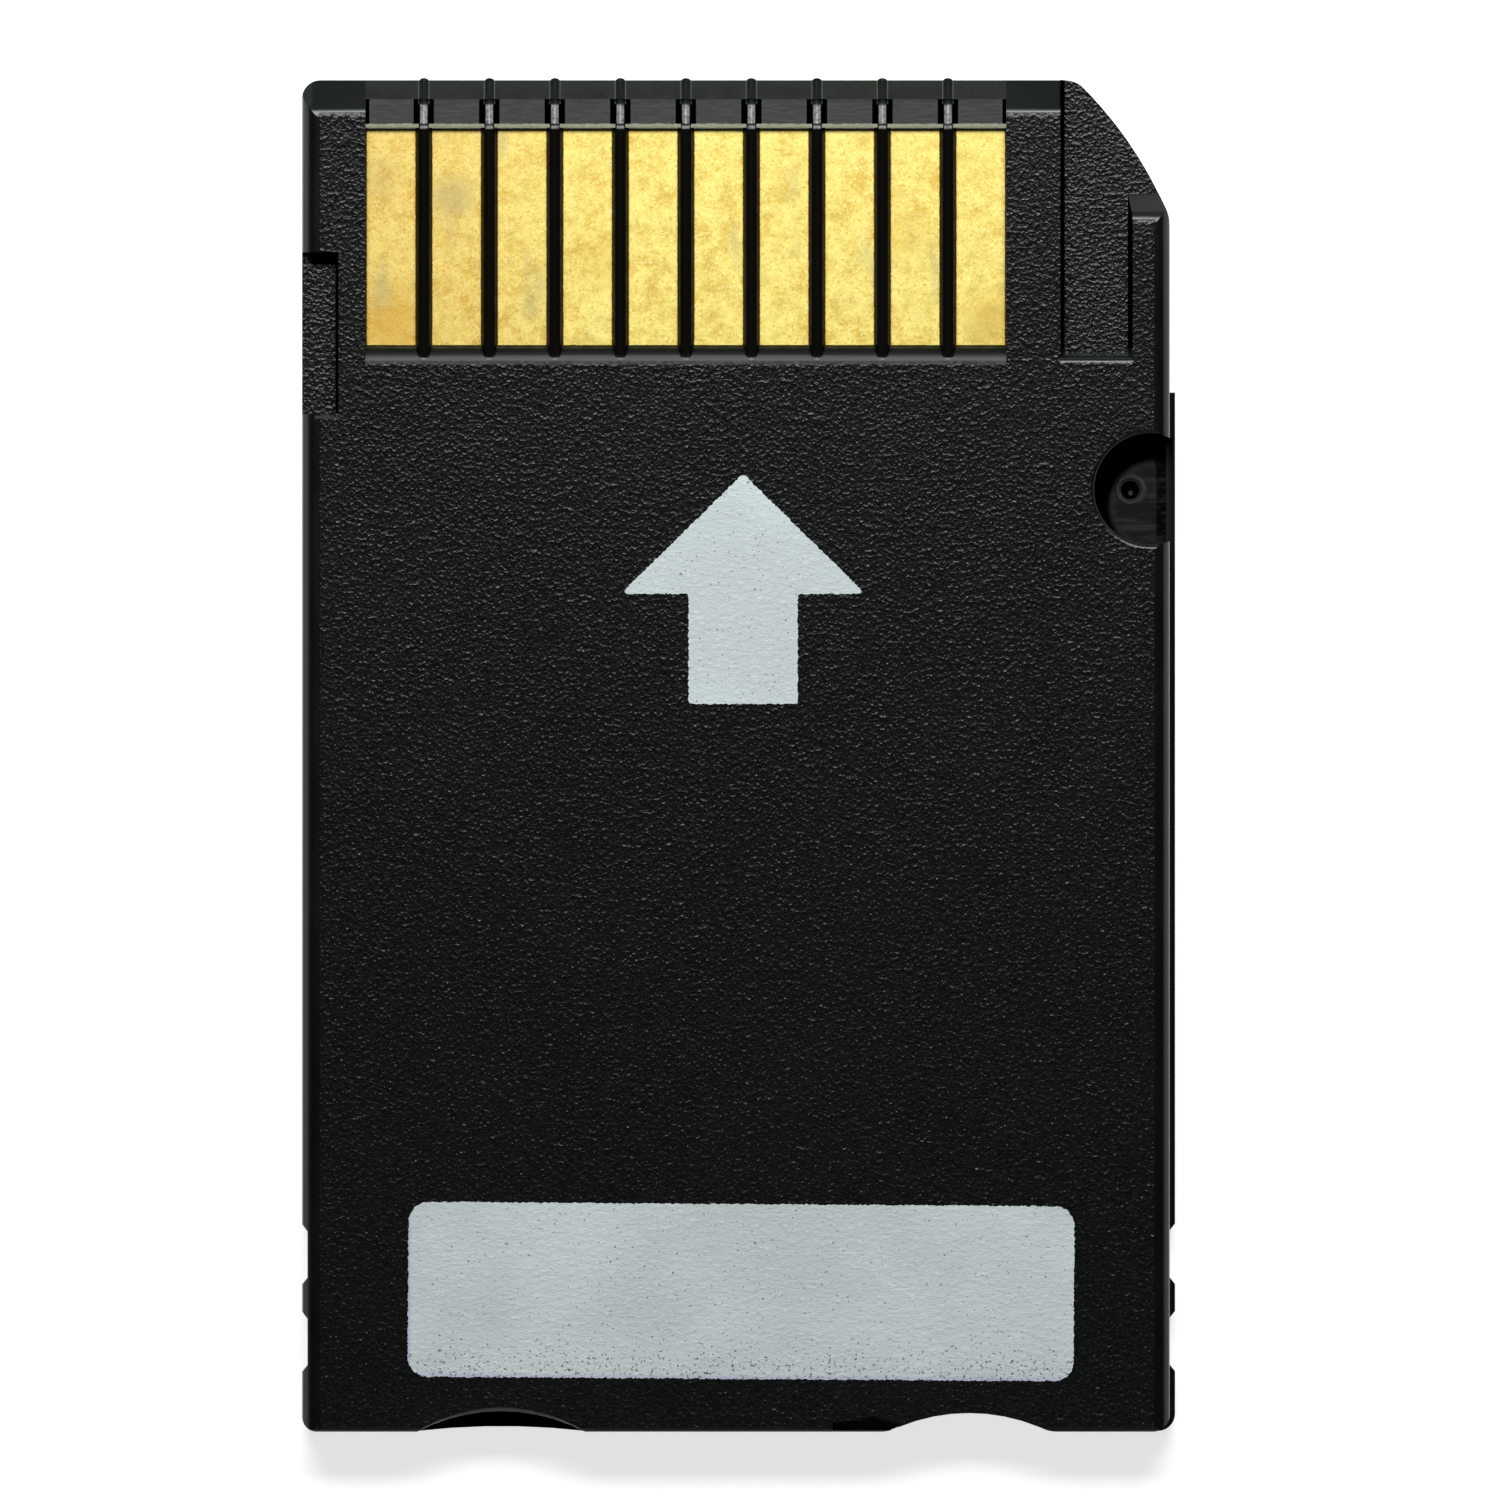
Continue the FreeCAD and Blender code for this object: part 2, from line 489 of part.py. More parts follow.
def make_back_shell():
    """The contact-side half shell."""
    body = new_body("back_shell")
    corners = [(LEFT, REAR), (SHELL_RIGHT, REAR), (SHELL_RIGHT, KEY_SIDE), (KEY_FRONT, FRONT), (LEFT, FRONT)]
    sketch = outline(body, "Outline", corners, {2: ("key_radius", "right")}, offset="cover_height")
    pad(body, "Block", sketch, "card_thickness - cover_height")
    round_card_corners(body, SHELL_RIGHT)
    cut_finger_notch(body, "cover_height")
    round_long_edge(body, "LeftEdge", LEFT, TOP, 1, 1, "side_edge_radius")
    round_long_edge(body, "RightEdge", SHELL_RIGHT, TOP, -1, 1, "side_edge_radius")
    round_long_edge(body, "RearEdge", REAR, TOP, 1, 1, "end_edge_radius", "YZ_Plane")
    cut_grips(body, "Grip", LEFT, 1, TOP, reverse=False)

    # The finger scoop slopes from its wide arc at the contact face to a shallow one at the cover.
    lip = scoop_arc(body, "ScoopLip", "(scoop_depth + scoop_bevel)", TOP)
    throat = scoop_arc(body, "ScoopThroat", "scoop_depth", f"({TOP} - scoop_bevel)")
    foot = scoop_arc(body, "ScoopFoot", "scoop_foot", "cover_height")
    scoop = body.newObject("PartDesign::SubtractiveLoft", "FingerScoop")
    scoop.Profile = lip
    scoop.Sections = [throat, foot]
    scoop.Ruled = True
    document.recompute()

    # The torn mark left where the plastic was fed into the mould.
    corners = [
        (f"(nick_offset + nick_width * ({across}))", f"({REAR} + nick_length * {along})")
        for across, along in TORN_MARK
    ]
    sketch = outline(body, "MouldMarkSketch", corners, offset=TOP)
    cut(body, "MouldMark", sketch, "nick_depth")

    # Room for the board, up to the face that it seats on.
    sketch = outline(body, "BoardRoomSketch", board_outline("board_clearance"), offset=BOARD_TOP)
    cut(body, "BoardRoom", sketch, f"{BOARD_TOP} - cover_height")

    # The window over the contacts: a rear wall that slopes from a low sill, and at the front the
    # lip that the connector's springs slide up, with a slit at each end.
    above = f"({TOP} + margin)"
    ahead = f"({FRONT} + margin)"
    start, end = ridge_ends(WINDOW_REAR, "window_slope", "window_sill")
    crest = f"({LIP_REAR} + lip_round)"
    lip_foot = f"({LIP_TOP} - lip_fall)"
    corners = [
        (WINDOW_REAR, BOARD_TOP), (LIP_REAR, BOARD_TOP), (LIP_REAR, f"({LIP_TOP} - lip_round)"),
        (crest, LIP_TOP), (FRONT, lip_foot), (ahead, lip_foot), (ahead, above), (start[0], above),
        start, end, (WINDOW_REAR, f"({TOP} - window_sill)"),
    ]
    arcs = {2: ("lip_round", "left"), 8: ("ridge_round", "left")}
    sketch = outline(body, "WindowSketch", corners, arcs, "YZ_Plane", ROW_CENTRE)
    cut(body, "Window", sketch, f"2 * {WINDOW_HALF}", both_ways=True)

    # The slots that the ribs stand in, and the slits at the lip's two ends.
    high = f"({crest} + slot_length)"
    left = f"({FIRST_RIB} - slot_width / 2)"
    right = f"({FIRST_RIB} + slot_width / 2)"
    sketch = outline(body, "SlotSketch", rectangle(left, right, crest, high), offset=TOP)
    slot = cut(body, "Slot", sketch, "slot_depth")
    repeat_across(body, "SlotRow", [slot])
    sketch = new_sketch(body, "EndSlitsSketch", offset=TOP)
    left = f"({ROW_CENTRE} - {WINDOW_HALF})"
    right = f"({ROW_CENTRE} + {WINDOW_HALF})"
    add_outline(sketch, rectangle(left, f"({left} + slit_width)", crest, high))
    add_outline(sketch, rectangle(f"({right} - slit_width)", right, crest, high))
    cut(body, "EndSlits", sketch, "slot_depth")

    # The bevel of the leading edge, up to the pocket beside the keyed corner.
    sketch = bevel_outline(
        body, "FrontBevelSketch", FRONT, "bevel_length", "bevel_height", f"({LEFT} - margin)"
    )
    cut(body, "FrontBevel", sketch, f"{POCKET_LEFT} - {LEFT} + margin", reverse=True)

    # The pocket, open towards the front and the keyed corner, and the sloping front of the block.
    corners = rectangle(POCKET_LEFT, POCKET_RIGHT, POCKET_REAR, ahead)
    sketch = outline(body, "PocketSketch", corners, offset=TOP)
    cut(body, "CornerPocket", sketch, "pocket_depth", taper="-pocket_taper")
    run = "(pocket_depth * tan(pocket_taper))"
    start, end = ridge_ends(f"({POCKET_REAR} + {run})", run, "pocket_depth", "pocket_rim")
    corners = [(end[0], above), (start[0], above), start, end]
    sketch = outline(
        body, "PocketRimSketch", corners, {2: ("pocket_rim", "left")}, "YZ_Plane", POCKET_LEFT
    )
    cut(body, "PocketRim", sketch, "pocket_width", reverse=True)
    inner = f"({POCKET_RIGHT} - pocket_width / 4)"
    block_front = f"({FRONT} - block_setback)"
    sketch = bevel_outline(body, "BlockSketch", block_front, "block_bevel", "pocket_depth", inner)
    cut(body, "BlockFront", sketch, f"{RIGHT} + margin - {inner}", reverse=True)

    # The ledge in the left side.
    ledge_front = f"({FRONT} - ledge_setback)"
    corners = rectangle(
        f"({LEFT} - margin)", f"({LEFT} + ledge_width)", f"({ledge_front} - ledge_length)", ledge_front
    )
    sketch = outline(body, "LedgeSketch", corners, offset=TOP)
    cut(body, "Ledge", sketch, "ledge_depth")

    # The lock notch, through to the cover, with a rounded rim.
    sketch = new_sketch(body, "LockNotchSketch", offset=TOP)
    add_circle(sketch, LOCK_ACROSS, LOCK_ALONG, "lock_radius")
    cut(body, "LockNotch", sketch, "card_thickness")
    foot = f"({TOP} - lock_rim)"
    rim = "(lock_radius + lock_rim)"
    corners = [("0", foot), ("lock_radius", foot), (rim, TOP), (rim, above), ("0", above)]
    revolve(body, "LockRim", corners, {1: ("lock_rim", "left")}, LOCK_ACROSS, LOCK_ALONG, groove=True)

    make_ribs(body)
    return body


def rib_section(body, name, along, low, top, share=1.0):
    """A rib's cross-section at one place along the card, with two facets on each shoulder.

    share is how much of the full width it has there.
    """
    left = f"({FIRST_RIB} - rib_width / 2 * {share})"
    right = f"({FIRST_RIB} + rib_width / 2 * {share})"
    facets = f"(rib_shoulder * {share})"
    between = f"({facets} * (1 - sqrt(0.5)))"
    shoulder = f"({top} - {facets})"
    corners = [
        (left, low), (right, low), (right, shoulder), (f"({right} - {between})", f"({top} - {between})"),
        (f"({right} - {facets})", top), (f"({left} + {facets})", top),
        (f"({left} + {between})", f"({top} - {between})"), (left, shoulder),
    ]
    return outline(body, name, corners, None, "XZ_Plane", f"(-{along})")


def rib_loft(body, name, sections):
    """A part of the first rib through its cross-sections."""
    document.recompute()
    before = body.Shape.Volume
    rib = body.newObject("PartDesign::AdditiveLoft", name)
    rib.Profile = sections[0]
    rib.Sections = sections[1:]
    rib.Ruled = True
    document.recompute()
    if body.Shape.Volume <= before:
        raise RuntimeError(f"{name} adds nothing")
    return rib


def make_ribs(body):
    """The guide ribs between the contacts, from the window's rear slope over the lip to the nose.

    A rib is wide between the contacts, with a round rear end. Its front is slimmer: a ramp over the
    lip, then down the bevel to a round nose.
    """
    rear = f"({WINDOW_REAR} - rib_end)"
    wide = []
    for index, turn in enumerate(RIB_END_TURNS):
        angle = math.radians(turn)
        along = f"({rear} + rib_width / 2 * {1 - math.cos(angle):.4f})"
        name = f"RibRear{index + 1}"
        wide.append(rib_section(body, name, along, BOARD_TOP, RIB_TOP, f"{math.sin(angle):.4f}"))
    wide.append(rib_section(body, "RibWideEnd", LIP_REAR, BOARD_TOP, RIB_TOP))

    slim = "(rib_front_width / rib_width)"
    inside = f"({LIP_REAR} - rib_front_width)"
    ramp_end = f"({LIP_REAR} + rib_ramp)"
    ramp_foot = f"({RIB_TOP} - rib_ramp_drop)"
    nose_top = f"({TOP} - bevel_height + rib_stand)"
    front = [
        rib_section(body, "RibSlimStart", inside, BOARD_TOP, RIB_TOP, slim),
        rib_section(body, "RibRampStart", LIP_REAR, BOARD_TOP, RIB_TOP, slim),
        rib_section(body, "RibRampEnd", ramp_end, BOARD_TOP, ramp_foot, slim),
    ]
    for index, turn in enumerate(RIB_NOSE_TURNS):
        angle = math.radians(turn)
        along = f"({FRONT} + rib_nose * {math.sin(angle):.4f})"
        share = f"({slim} * {math.cos(angle):.4f})"
        front.append(rib_section(body, f"RibNose{index + 1}", along, "cover_height", nose_top, share))
    parts = [rib_loft(body, "RibWide", wide), rib_loft(body, "RibFront", front)]
    repeat_across(body, "RibRow", parts)


def make_top_cover():
    """The label-side half shell, with the tongue that clamps the board."""
    body = new_body("top_cover")
    corners = [
        (LEFT, REAR), (RIGHT, REAR), (RIGHT, FLANGE_END), (SHELL_RIGHT, FLANGE_END),
        (SHELL_RIGHT, KEY_SIDE), (KEY_FRONT, FRONT), (LEFT, FRONT),
    ]
    sketch = outline(body, "Outline", corners, {4: ("key_radius", "right")})
    pad(body, "Block", sketch, "cover_height")
    round_card_corners(body, RIGHT)
    cut_finger_notch(body, "0")
    round_long_edge(body, "LeftEdge", LEFT, "0", 1, -1, "side_edge_radius")
    round_long_edge(body, "RightEdge", RIGHT, "0", -1, -1, "side_edge_radius")
    round_long_edge(body, "RearEdge", REAR, "0", 1, -1, "end_edge_radius", "YZ_Plane")
    cut_grips(body, "LeftGrip", LEFT, 1, "0", reverse=True)
    cut_grips(body, "RightGrip", RIGHT, -1, "0", reverse=True)

    foot = scoop_arc(body, "ScoopFoot", "scoop_foot", "0")
    cut(body, "FingerScoop", foot, "card_thickness", reverse=True)

    corners = [
        (FRONT, "cover_bevel"), (f"({FRONT} - cover_bevel)", "0"), (f"({FRONT} - cover_bevel)", "(-margin)"),
        (f"({FRONT} + margin)", "(-margin)"), (f"({FRONT} + margin)", "cover_bevel"),
    ]
    sketch = outline(body, "FrontBevelSketch", corners, plane="YZ_Plane")
    cut(body, "FrontBevel", sketch, "2 * card_width", both_ways=True)

    # The clamping tongue, and the room for the chips inside it.
    sketch = outline(body, "TongueSketch", board_outline(), offset="cover_height")
    pad(body, "Tongue", sketch, f"{BOARD_UNDER} - cover_height")
    sketch = outline(body, "ChipRoomSketch", board_outline("(-clamp_width)"), offset="cover_wall")
    cut(body, "ChipRoom", sketch, "card_thickness", reverse=True)

    # The groove along the lock notch's floor, inside the flange, and the raised ring on that floor.
    outer = f"({RIGHT} - groove_wall)"
    inner = f"({outer} - groove_width)"
    above = "(cover_height + groove_depth)"
    corners = [
        (inner, "cover_height"), (outer, "(cover_height - groove_depth)"), (outer, above), (inner, above),
    ]
    sketch = outline(body, "LockGrooveSketch", corners, None, "XZ_Plane", f"(-{LOCK_ALONG})")
    chord = "sqrt(lock_radius ^ 2 - lock_inset ^ 2)"
    cut(body, "LockGroove", sketch, f"2 * {chord}", both_ways=True)
    middle = f"({LOCK_ACROSS} - ring_inset)"
    top = "(cover_height + ring_height)"
    corners = [
        ("ring_hole", "cover_height"), ("ring_radius", "cover_height"), ("(ring_radius - ring_bevel)", top),
        ("(ring_hole + ring_bevel)", top),
    ]
    revolve(body, "Ring", corners, None, middle, LOCK_ALONG)
    corners = [("0", "cover_height"), ("ring_cone", "cover_height"), ("0", top)]
    revolve(body, "RingCone", corners, None, middle, LOCK_ALONG)

    # The label side: the shallow recess for a label, and the insertion arrow.
    label_rear = f"({REAR} + label_margin)"
    label_front = f"({label_rear} + label_length)"
    left = f"({LEFT} + label_margin)"
    right = f"({RIGHT} - label_margin)"
    corners = []
    for x, y, across, along in (
        (left, label_rear, 1, 1), (right, label_rear, -1, 1),
        (right, label_front, -1, -1), (left, label_front, 1, -1),
    ):
        beside = (f"({x} + {across} * label_radius)", y)
        beyond = (x, f"({y} + {along} * label_radius)")
        corners += [beyond, beside] if across == along else [beside, beyond]
    arcs = {index: ("label_radius", "right") for index in range(0, len(corners), 2)}
    sketch = outline(body, "LabelRecessSketch", corners, arcs)
    cut(body, "LabelRecess", sketch, "label_depth", reverse=True)
    tip = f"({FRONT} - arrow_setback)"
    corners = [
        ("(-arrow_width / 2)", f"({tip} - arrow_length)"), ("(arrow_width / 2)", f"({tip} - arrow_length)"),
        ("0", tip),
    ]
    sketch = outline(body, "ArrowSketch", corners)
    cut(body, "Arrow", sketch, "arrow_depth", reverse=True)
    return body


def make_board():
    """The circuit board: stepped to pass the lock notch and the corner pocket."""
    body = new_body("circuit_board")
    corners = board_outline()
    sketch = outline(body, "Outline", corners, offset=BOARD_UNDER)
    pad(body, "Board", sketch, "board_thickness")
    inner_corner = 3
    for index, (x, y) in enumerate(corners):
        if index != inner_corner:
            round_upright(body, f"Corner{index + 1}", x, y, "board_corner")
    return body


def make_contact(index):
    """One gold contact, on top of the board."""
    body = new_body(f"contact_{index + 1:02d}")
    corners = rectangle("(-contact_width / 2)", "(contact_width / 2)", "(-contact_length)", "0")
    sketch = outline(body, "Outline", corners)
    pad(body, "Plating", sketch, "contact_film")
    bind(body, "Placement.Base.x", f"{ROW_CENTRE} + ({index} - (contact_count - 1) / 2) * contact_pitch")
    bind(body, "Placement.Base.y", CONTACT_FRONT)
    bind(body, "Placement.Base.z", BOARD_TOP)
    document.recompute()
    return body


def make_chip(node, half_width, half_length, standoff, across, along):
    """A flat chip package that hangs under the board, with a dimple at its first lead."""
    body = new_body(node)
    height = f"({BOARD_UNDER} - {standoff} - {CHIP_UNDER})"
    corners = rectangle(f"(-{half_width})", f"({half_width})", f"(-{half_length})", f"({half_length})")
    sketch = outline(body, "Outline", corners)
    package = pad(body, "Package", sketch, height)
    bottom = [
        f"Edge{index}" for index, edge in enumerate(package.Shape.Edges, start=1)
        if all(abs(vertex.Z) < 0.001 for vertex in edge.Vertexes)
    ]
    bevel = body.newObject("PartDesign::Chamfer", "LowerBevel")
    bevel.Base = (package, bottom)
    bind(bevel, "Size", "chip_chamfer")
    document.recompute()
    sketch = new_sketch(body, "MarkSketch")
    inset = "(3 * mark_radius)"
    add_circle(sketch, f"(-{half_width} + {inset})", f"({half_length} - {inset})", "mark_radius")
    cut(body, "Mark", sketch, "mark_depth", reverse=True)
    bind(body, "Placement.Base.x", across)
    bind(body, "Placement.Base.y", along)
    bind(body, "Placement.Base.z", CHIP_UNDER)
    document.recompute()
    return body


def make_memory_leads():
    """The memory package's formed leads: out of its ends at mid height, and up to the board."""
    body = new_body("flash_memory_leads")
    middle = f"(({BOARD_UNDER} - memory_standoff + {CHIP_UNDER}) / 2)"
    sketch = new_sketch(body, "LeadSketch", "YZ_Plane", "(-(lead_count - 1) * lead_pitch / 2)")
    for way in ("", "-"):
        profile = [
            (MEMORY_HALF_LENGTH, f"({middle} - lead_gauge / 2)"),
            (f"({MEMORY_REACH} - lead_foot - lead_gauge / 2)", f"({middle} - lead_gauge / 2)"),
            (f"({MEMORY_REACH} - lead_foot + lead_gauge)", f"({BOARD_UNDER} - lead_gauge)"),
            (MEMORY_REACH, f"({BOARD_UNDER} - lead_gauge)"),
            (MEMORY_REACH, BOARD_UNDER),
            (f"({MEMORY_REACH} - lead_foot)", BOARD_UNDER),
            (f"({MEMORY_REACH} - lead_foot - lead_gauge * 1.5)", f"({middle} + lead_gauge / 2)"),
            (MEMORY_HALF_LENGTH, f"({middle} + lead_gauge / 2)"),
        ]
        add_outline(sketch, [(f"({way}{along})", height) for along, height in profile])
    lead = pad(body, "Lead", sketch, "lead_width", both_ways=True)
    row = body.newObject("PartDesign::LinearPattern", "LeadRow")
    row.Originals = [lead]
    row.Direction = (origin_feature(body, "X_Axis"), [""])
    bind(row, "Length", "(lead_count - 1) * lead_pitch")
    bind(row, "Occurrences", "lead_count")
    body.Tip = row
    bind(body, "Placement.Base.y", MEMORY_ALONG)
    document.recompute()
    return body


def make_small_part(node, height, across, along, turned=False):
    """A capacitor, resistor or fuse: a block with an end cap at each end, soldered to the board.

    Its long side lies across the card or, turned, along it.
    """
    body = new_body(node)
    half_length = "(part_length / 2)"
    half_width = "(part_width / 2)"
    corners = rectangle(
        f"(-{half_length} + part_cap)", f"({half_length} - part_cap)", f"(-{half_width})", half_width
    )
    sketch = outline(body, "CoreSketch", corners)
    pad(body, "Core", sketch, height, reverse=True)
    sketch = new_sketch(body, "CapSketch")
    wide = f"({half_width} + part_skin)"
    add_outline(sketch, rectangle(f"(-{half_length})", f"(-{half_length} + part_cap)", f"(-{wide})", wide))
    add_outline(sketch, rectangle(f"({half_length} - part_cap)", half_length, f"(-{wide})", wide))
    pad(body, "Caps", sketch, f"{height} + part_skin", reverse=True)
    body.Placement.Rotation = FreeCAD.Rotation(FreeCAD.Vector(0, 0, 1), 90 if turned else 0)
    bind(body, "Placement.Base.x", across)
    bind(body, "Placement.Base.y", along)
    bind(body, "Placement.Base.z", BOARD_UNDER)
    document.recompute()
    return body


def make_small_parts():
    """A column of small parts on each side of the controller."""
    left = f"{CONTROLLER_ACROSS} - {PART_COLUMN}"
    right = f"{CONTROLLER_ACROSS} + {PART_COLUMN}"
    parts = []
    for index in range(PARTS_IN_COLUMN):
        along = f"{CONTROLLER_ALONG} + ({index} - {(PARTS_IN_COLUMN - 1) / 2}) * part_pitch"
        parts.append(make_small_part(f"capacitor_{index + 1}", "capacitor_height", left, along))
        parts.append(make_small_part(f"resistor_{index + 1}", "resistor_height", right, along))
    side = f"(({MEMORY_HALF_WIDTH} + {BOARD_RIGHT} - clamp_width) / 2)"
    parts.append(make_small_part("fuse", "fuse_height", side, MEMORY_ALONG, turned=True))
    return parts


def make_card():
    """Every piece of the card."""
    pieces = [make_back_shell(), make_top_cover(), make_board()]
    pieces += [make_contact(index) for index in range(int(number("contact_count")))]
    pieces.append(
        make_chip(
            "flash_memory_chip", MEMORY_HALF_WIDTH, MEMORY_HALF_LENGTH, "memory_standoff", "0", MEMORY_ALONG
        )
    )
    pieces.append(make_memory_leads())
    half = "(controller_size / 2)"
    pieces.append(make_chip("controller_chip", half, half, "0", CONTROLLER_ACROSS, CONTROLLER_ALONG))
    pieces += make_small_parts()
    return pieces


def check(pieces):
    """Stops if any feature failed or any piece isn't a sound solid."""
    for item in document.Objects:
        if "Invalid" in item.State or "Error" in item.State:
            raise RuntimeError(f"{item.Name} failed: {item.State}")
    for piece in pieces:
        if piece.Shape.isNull() or not piece.Shape.isValid() or not piece.Shape.Solids:
            raise RuntimeError(f"{piece.Label} isn't a sound solid")


card_pieces = make_card()
document.recompute()
check(card_pieces)
os.makedirs("parts", exist_ok=True)
for card_piece in card_pieces:
    card_piece.Shape.exportStep(f"parts/{card_piece.Label}.step")
    box = card_piece.Shape.BoundBox
    print(
        f"{card_piece.Label}: {len(card_piece.Shape.Solids)} solids,"
        f" {card_piece.Shape.Volume:.3f} mm3,"
        f" x {box.XMin:.2f} {box.XMax:.2f}, y {box.YMin:.2f} {box.YMax:.2f}, z {box.ZMin:.2f} {box.ZMax:.2f}"
    )
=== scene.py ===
# %% [markdown]
# A small memory card lies on its label side with its gold contacts up. The construction comes from
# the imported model, which is loaded first and never moved. This lesson gives it a camera, light, and the
# finish of every surface: grained black plastic, glossy ribs, worn gold and screen-printed ink.

# %% Load the card
import math
import random
import bmesh
import bpy
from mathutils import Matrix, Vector


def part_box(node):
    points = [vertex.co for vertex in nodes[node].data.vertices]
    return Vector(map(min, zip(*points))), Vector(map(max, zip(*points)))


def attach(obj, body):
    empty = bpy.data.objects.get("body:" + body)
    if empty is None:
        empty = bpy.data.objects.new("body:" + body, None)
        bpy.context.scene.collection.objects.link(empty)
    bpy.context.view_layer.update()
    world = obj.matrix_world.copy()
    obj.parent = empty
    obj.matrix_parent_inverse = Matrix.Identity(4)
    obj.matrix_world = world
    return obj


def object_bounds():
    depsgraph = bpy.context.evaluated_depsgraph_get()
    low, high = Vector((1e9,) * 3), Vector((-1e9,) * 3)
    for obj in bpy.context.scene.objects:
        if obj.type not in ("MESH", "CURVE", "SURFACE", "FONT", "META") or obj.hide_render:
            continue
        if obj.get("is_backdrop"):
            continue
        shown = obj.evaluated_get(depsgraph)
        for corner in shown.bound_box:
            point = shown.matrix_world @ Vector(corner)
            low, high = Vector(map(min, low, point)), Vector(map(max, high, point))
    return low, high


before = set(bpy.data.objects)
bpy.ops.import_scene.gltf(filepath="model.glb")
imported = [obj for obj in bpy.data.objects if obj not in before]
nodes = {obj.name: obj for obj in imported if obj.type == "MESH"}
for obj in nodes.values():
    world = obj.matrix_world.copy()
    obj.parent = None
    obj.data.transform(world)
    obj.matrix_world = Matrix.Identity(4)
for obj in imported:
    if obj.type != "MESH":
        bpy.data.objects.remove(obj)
cad_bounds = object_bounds()
MM = 0.001
print(f"{len(nodes)} nodes, box {[[round(value / MM, 2) for value in corner] for corner in cad_bounds]} mm")

# %% [markdown]
# The photograph looks straight down. A camera close by would also show the card's sides, so this one has
# a long lens and hangs far away, as for a product photograph. Its distance follows from the lens and
# the width that the picture spans.

# %% Camera
PICTURE_SPAN = 34.33 * MM
PICTURE_CENTRE = Vector((0.258 * MM, 0.107 * MM, 0))
LENS = 600
SENSOR_WIDTH = 36
card_top = cad_bounds[1][2]
camera_data = bpy.data.cameras.new("camera")
camera_data.lens = LENS
camera_data.sensor_width = SENSOR_WIDTH
camera = bpy.data.objects.new("camera", camera_data)
bpy.context.scene.collection.objects.link(camera)
camera_distance = PICTURE_SPAN * LENS / SENSOR_WIDTH
camera.location = PICTURE_CENTRE + Vector((0, 0, card_top + camera_distance))
bpy.context.scene.camera = camera
bpy.context.scene.view_settings.view_transform = "Standard"
print(f"camera {camera_distance / MM:.0f} mm above the card")

# %% [markdown]
# Black plastic shows almost nothing but what it reflects, so the lamps decide how the moulding reads.
# One softbox hangs past the contact end, well off the line of sight. A level polished face doesn't mirror
# it and stays black, while grains and ridges that lean a little towards the contact end catch it. A weak
# lamp hangs on the other side.

# %% Lamps
def hang_softbox(name, place, target, width, depth, watts):
    """A rectangular lamp at a place, in millimetres, that faces a target."""
    data = bpy.data.lights.new(name, "AREA")
    data.shape = "RECTANGLE"
    data.size = width * MM
    data.size_y = depth * MM
    data.energy = watts
    lamp = bpy.data.objects.new(name, data)
    lamp.location = Vector(place) * MM
    lamp.rotation_euler = (Vector(target) - Vector(place)).to_track_quat("-Z", "Y").to_euler()
    bpy.context.scene.collection.objects.link(lamp)
    print(f"{name}: {width} x {depth} mm, {watts} W")


hang_softbox("softbox_contact_end", (0, 62, 85), (0, 2, 0), 90, 38, 0.115)
hang_softbox("softbox_rear", (0, -90, 110), (0, 0, 0), 160, 60, 0.008)

# %% [markdown]
# The world and all materials are made of shader nodes that are linked to each other. Two functions keep
# that short: one adds any node, and one adds a step of arithmetic.

# %% Nodes
def add_node(tree, kind, inputs=None, **settings):
    """Adds a node. An input is given a value, or linked when it is another node's output."""
    made = tree.nodes.new(kind)
    for name, value in settings.items():
        setattr(made, name, value)
    for name, value in (inputs or {}).items():
        if isinstance(value, bpy.types.NodeSocket):
            tree.links.new(value, made.inputs[name])
        else:
            made.inputs[name].default_value = value
    return made


def calculate(tree, operation, first, second=0.0, third=0.0):
    """One step of arithmetic on values or outputs."""
    return add_node(tree, "ShaderNodeMath", {0: first, 1: second, 2: third}, operation=operation).outputs[0]


print("node helpers ready")

# %% [markdown]
# The walls round the card are white and the ceiling is dark. A level polished face mirrors that ceiling,
# so it stays black. To the camera the whole world is white, and for the light that falls on things it is
# only a dim fill. A light path node tells these kinds of rays apart.

# %% World
WORLD_FILL = 0.05
# The sine of the height above the horizon where the white walls end, and where it is dark.
WALL_TOP, CEILING = 0.1, 0.3


def seen(tree, in_gloss=1.0):
    """1 for rays from the camera, a given share for rays from gloss or through glass, 0 for light."""
    path = add_node(tree, "ShaderNodeLightPath")
    gloss = calculate(tree, "MAXIMUM", path.outputs["Is Glossy Ray"], path.outputs["Is Transmission Ray"])
    gloss = calculate(tree, "MULTIPLY", gloss, in_gloss)
    return calculate(tree, "MAXIMUM", path.outputs["Is Camera Ray"], gloss)


world = bpy.data.worlds.new("studio")
bpy.context.scene.world = world
world.use_nodes = True
tree = world.node_tree
direction = add_node(tree, "ShaderNodeTexCoord").outputs["Generated"]
rise = add_node(tree, "ShaderNodeSeparateXYZ", {0: direction}).outputs[2]
wall_range = {"Value": rise, "From Min": WALL_TOP, "From Max": CEILING, "To Min": 1.0, "To Max": 0.0}
white_walls = add_node(tree, "ShaderNodeMapRange", wall_range).outputs[0]
strength = calculate(tree, "MAXIMUM", seen(tree, white_walls), WORLD_FILL)
background = tree.nodes["Background"]
tree.links.new(strength, background.inputs["Strength"])
background.inputs["Color"].default_value = (1, 1, 1, 1)
print(f"world fill {WORLD_FILL}")

# %% [markdown]
# The floor is plain and pale. To the camera and in reflections it gets a little light of its own, so
# that it reads as white paper, while the card still throws its soft shadow on it.

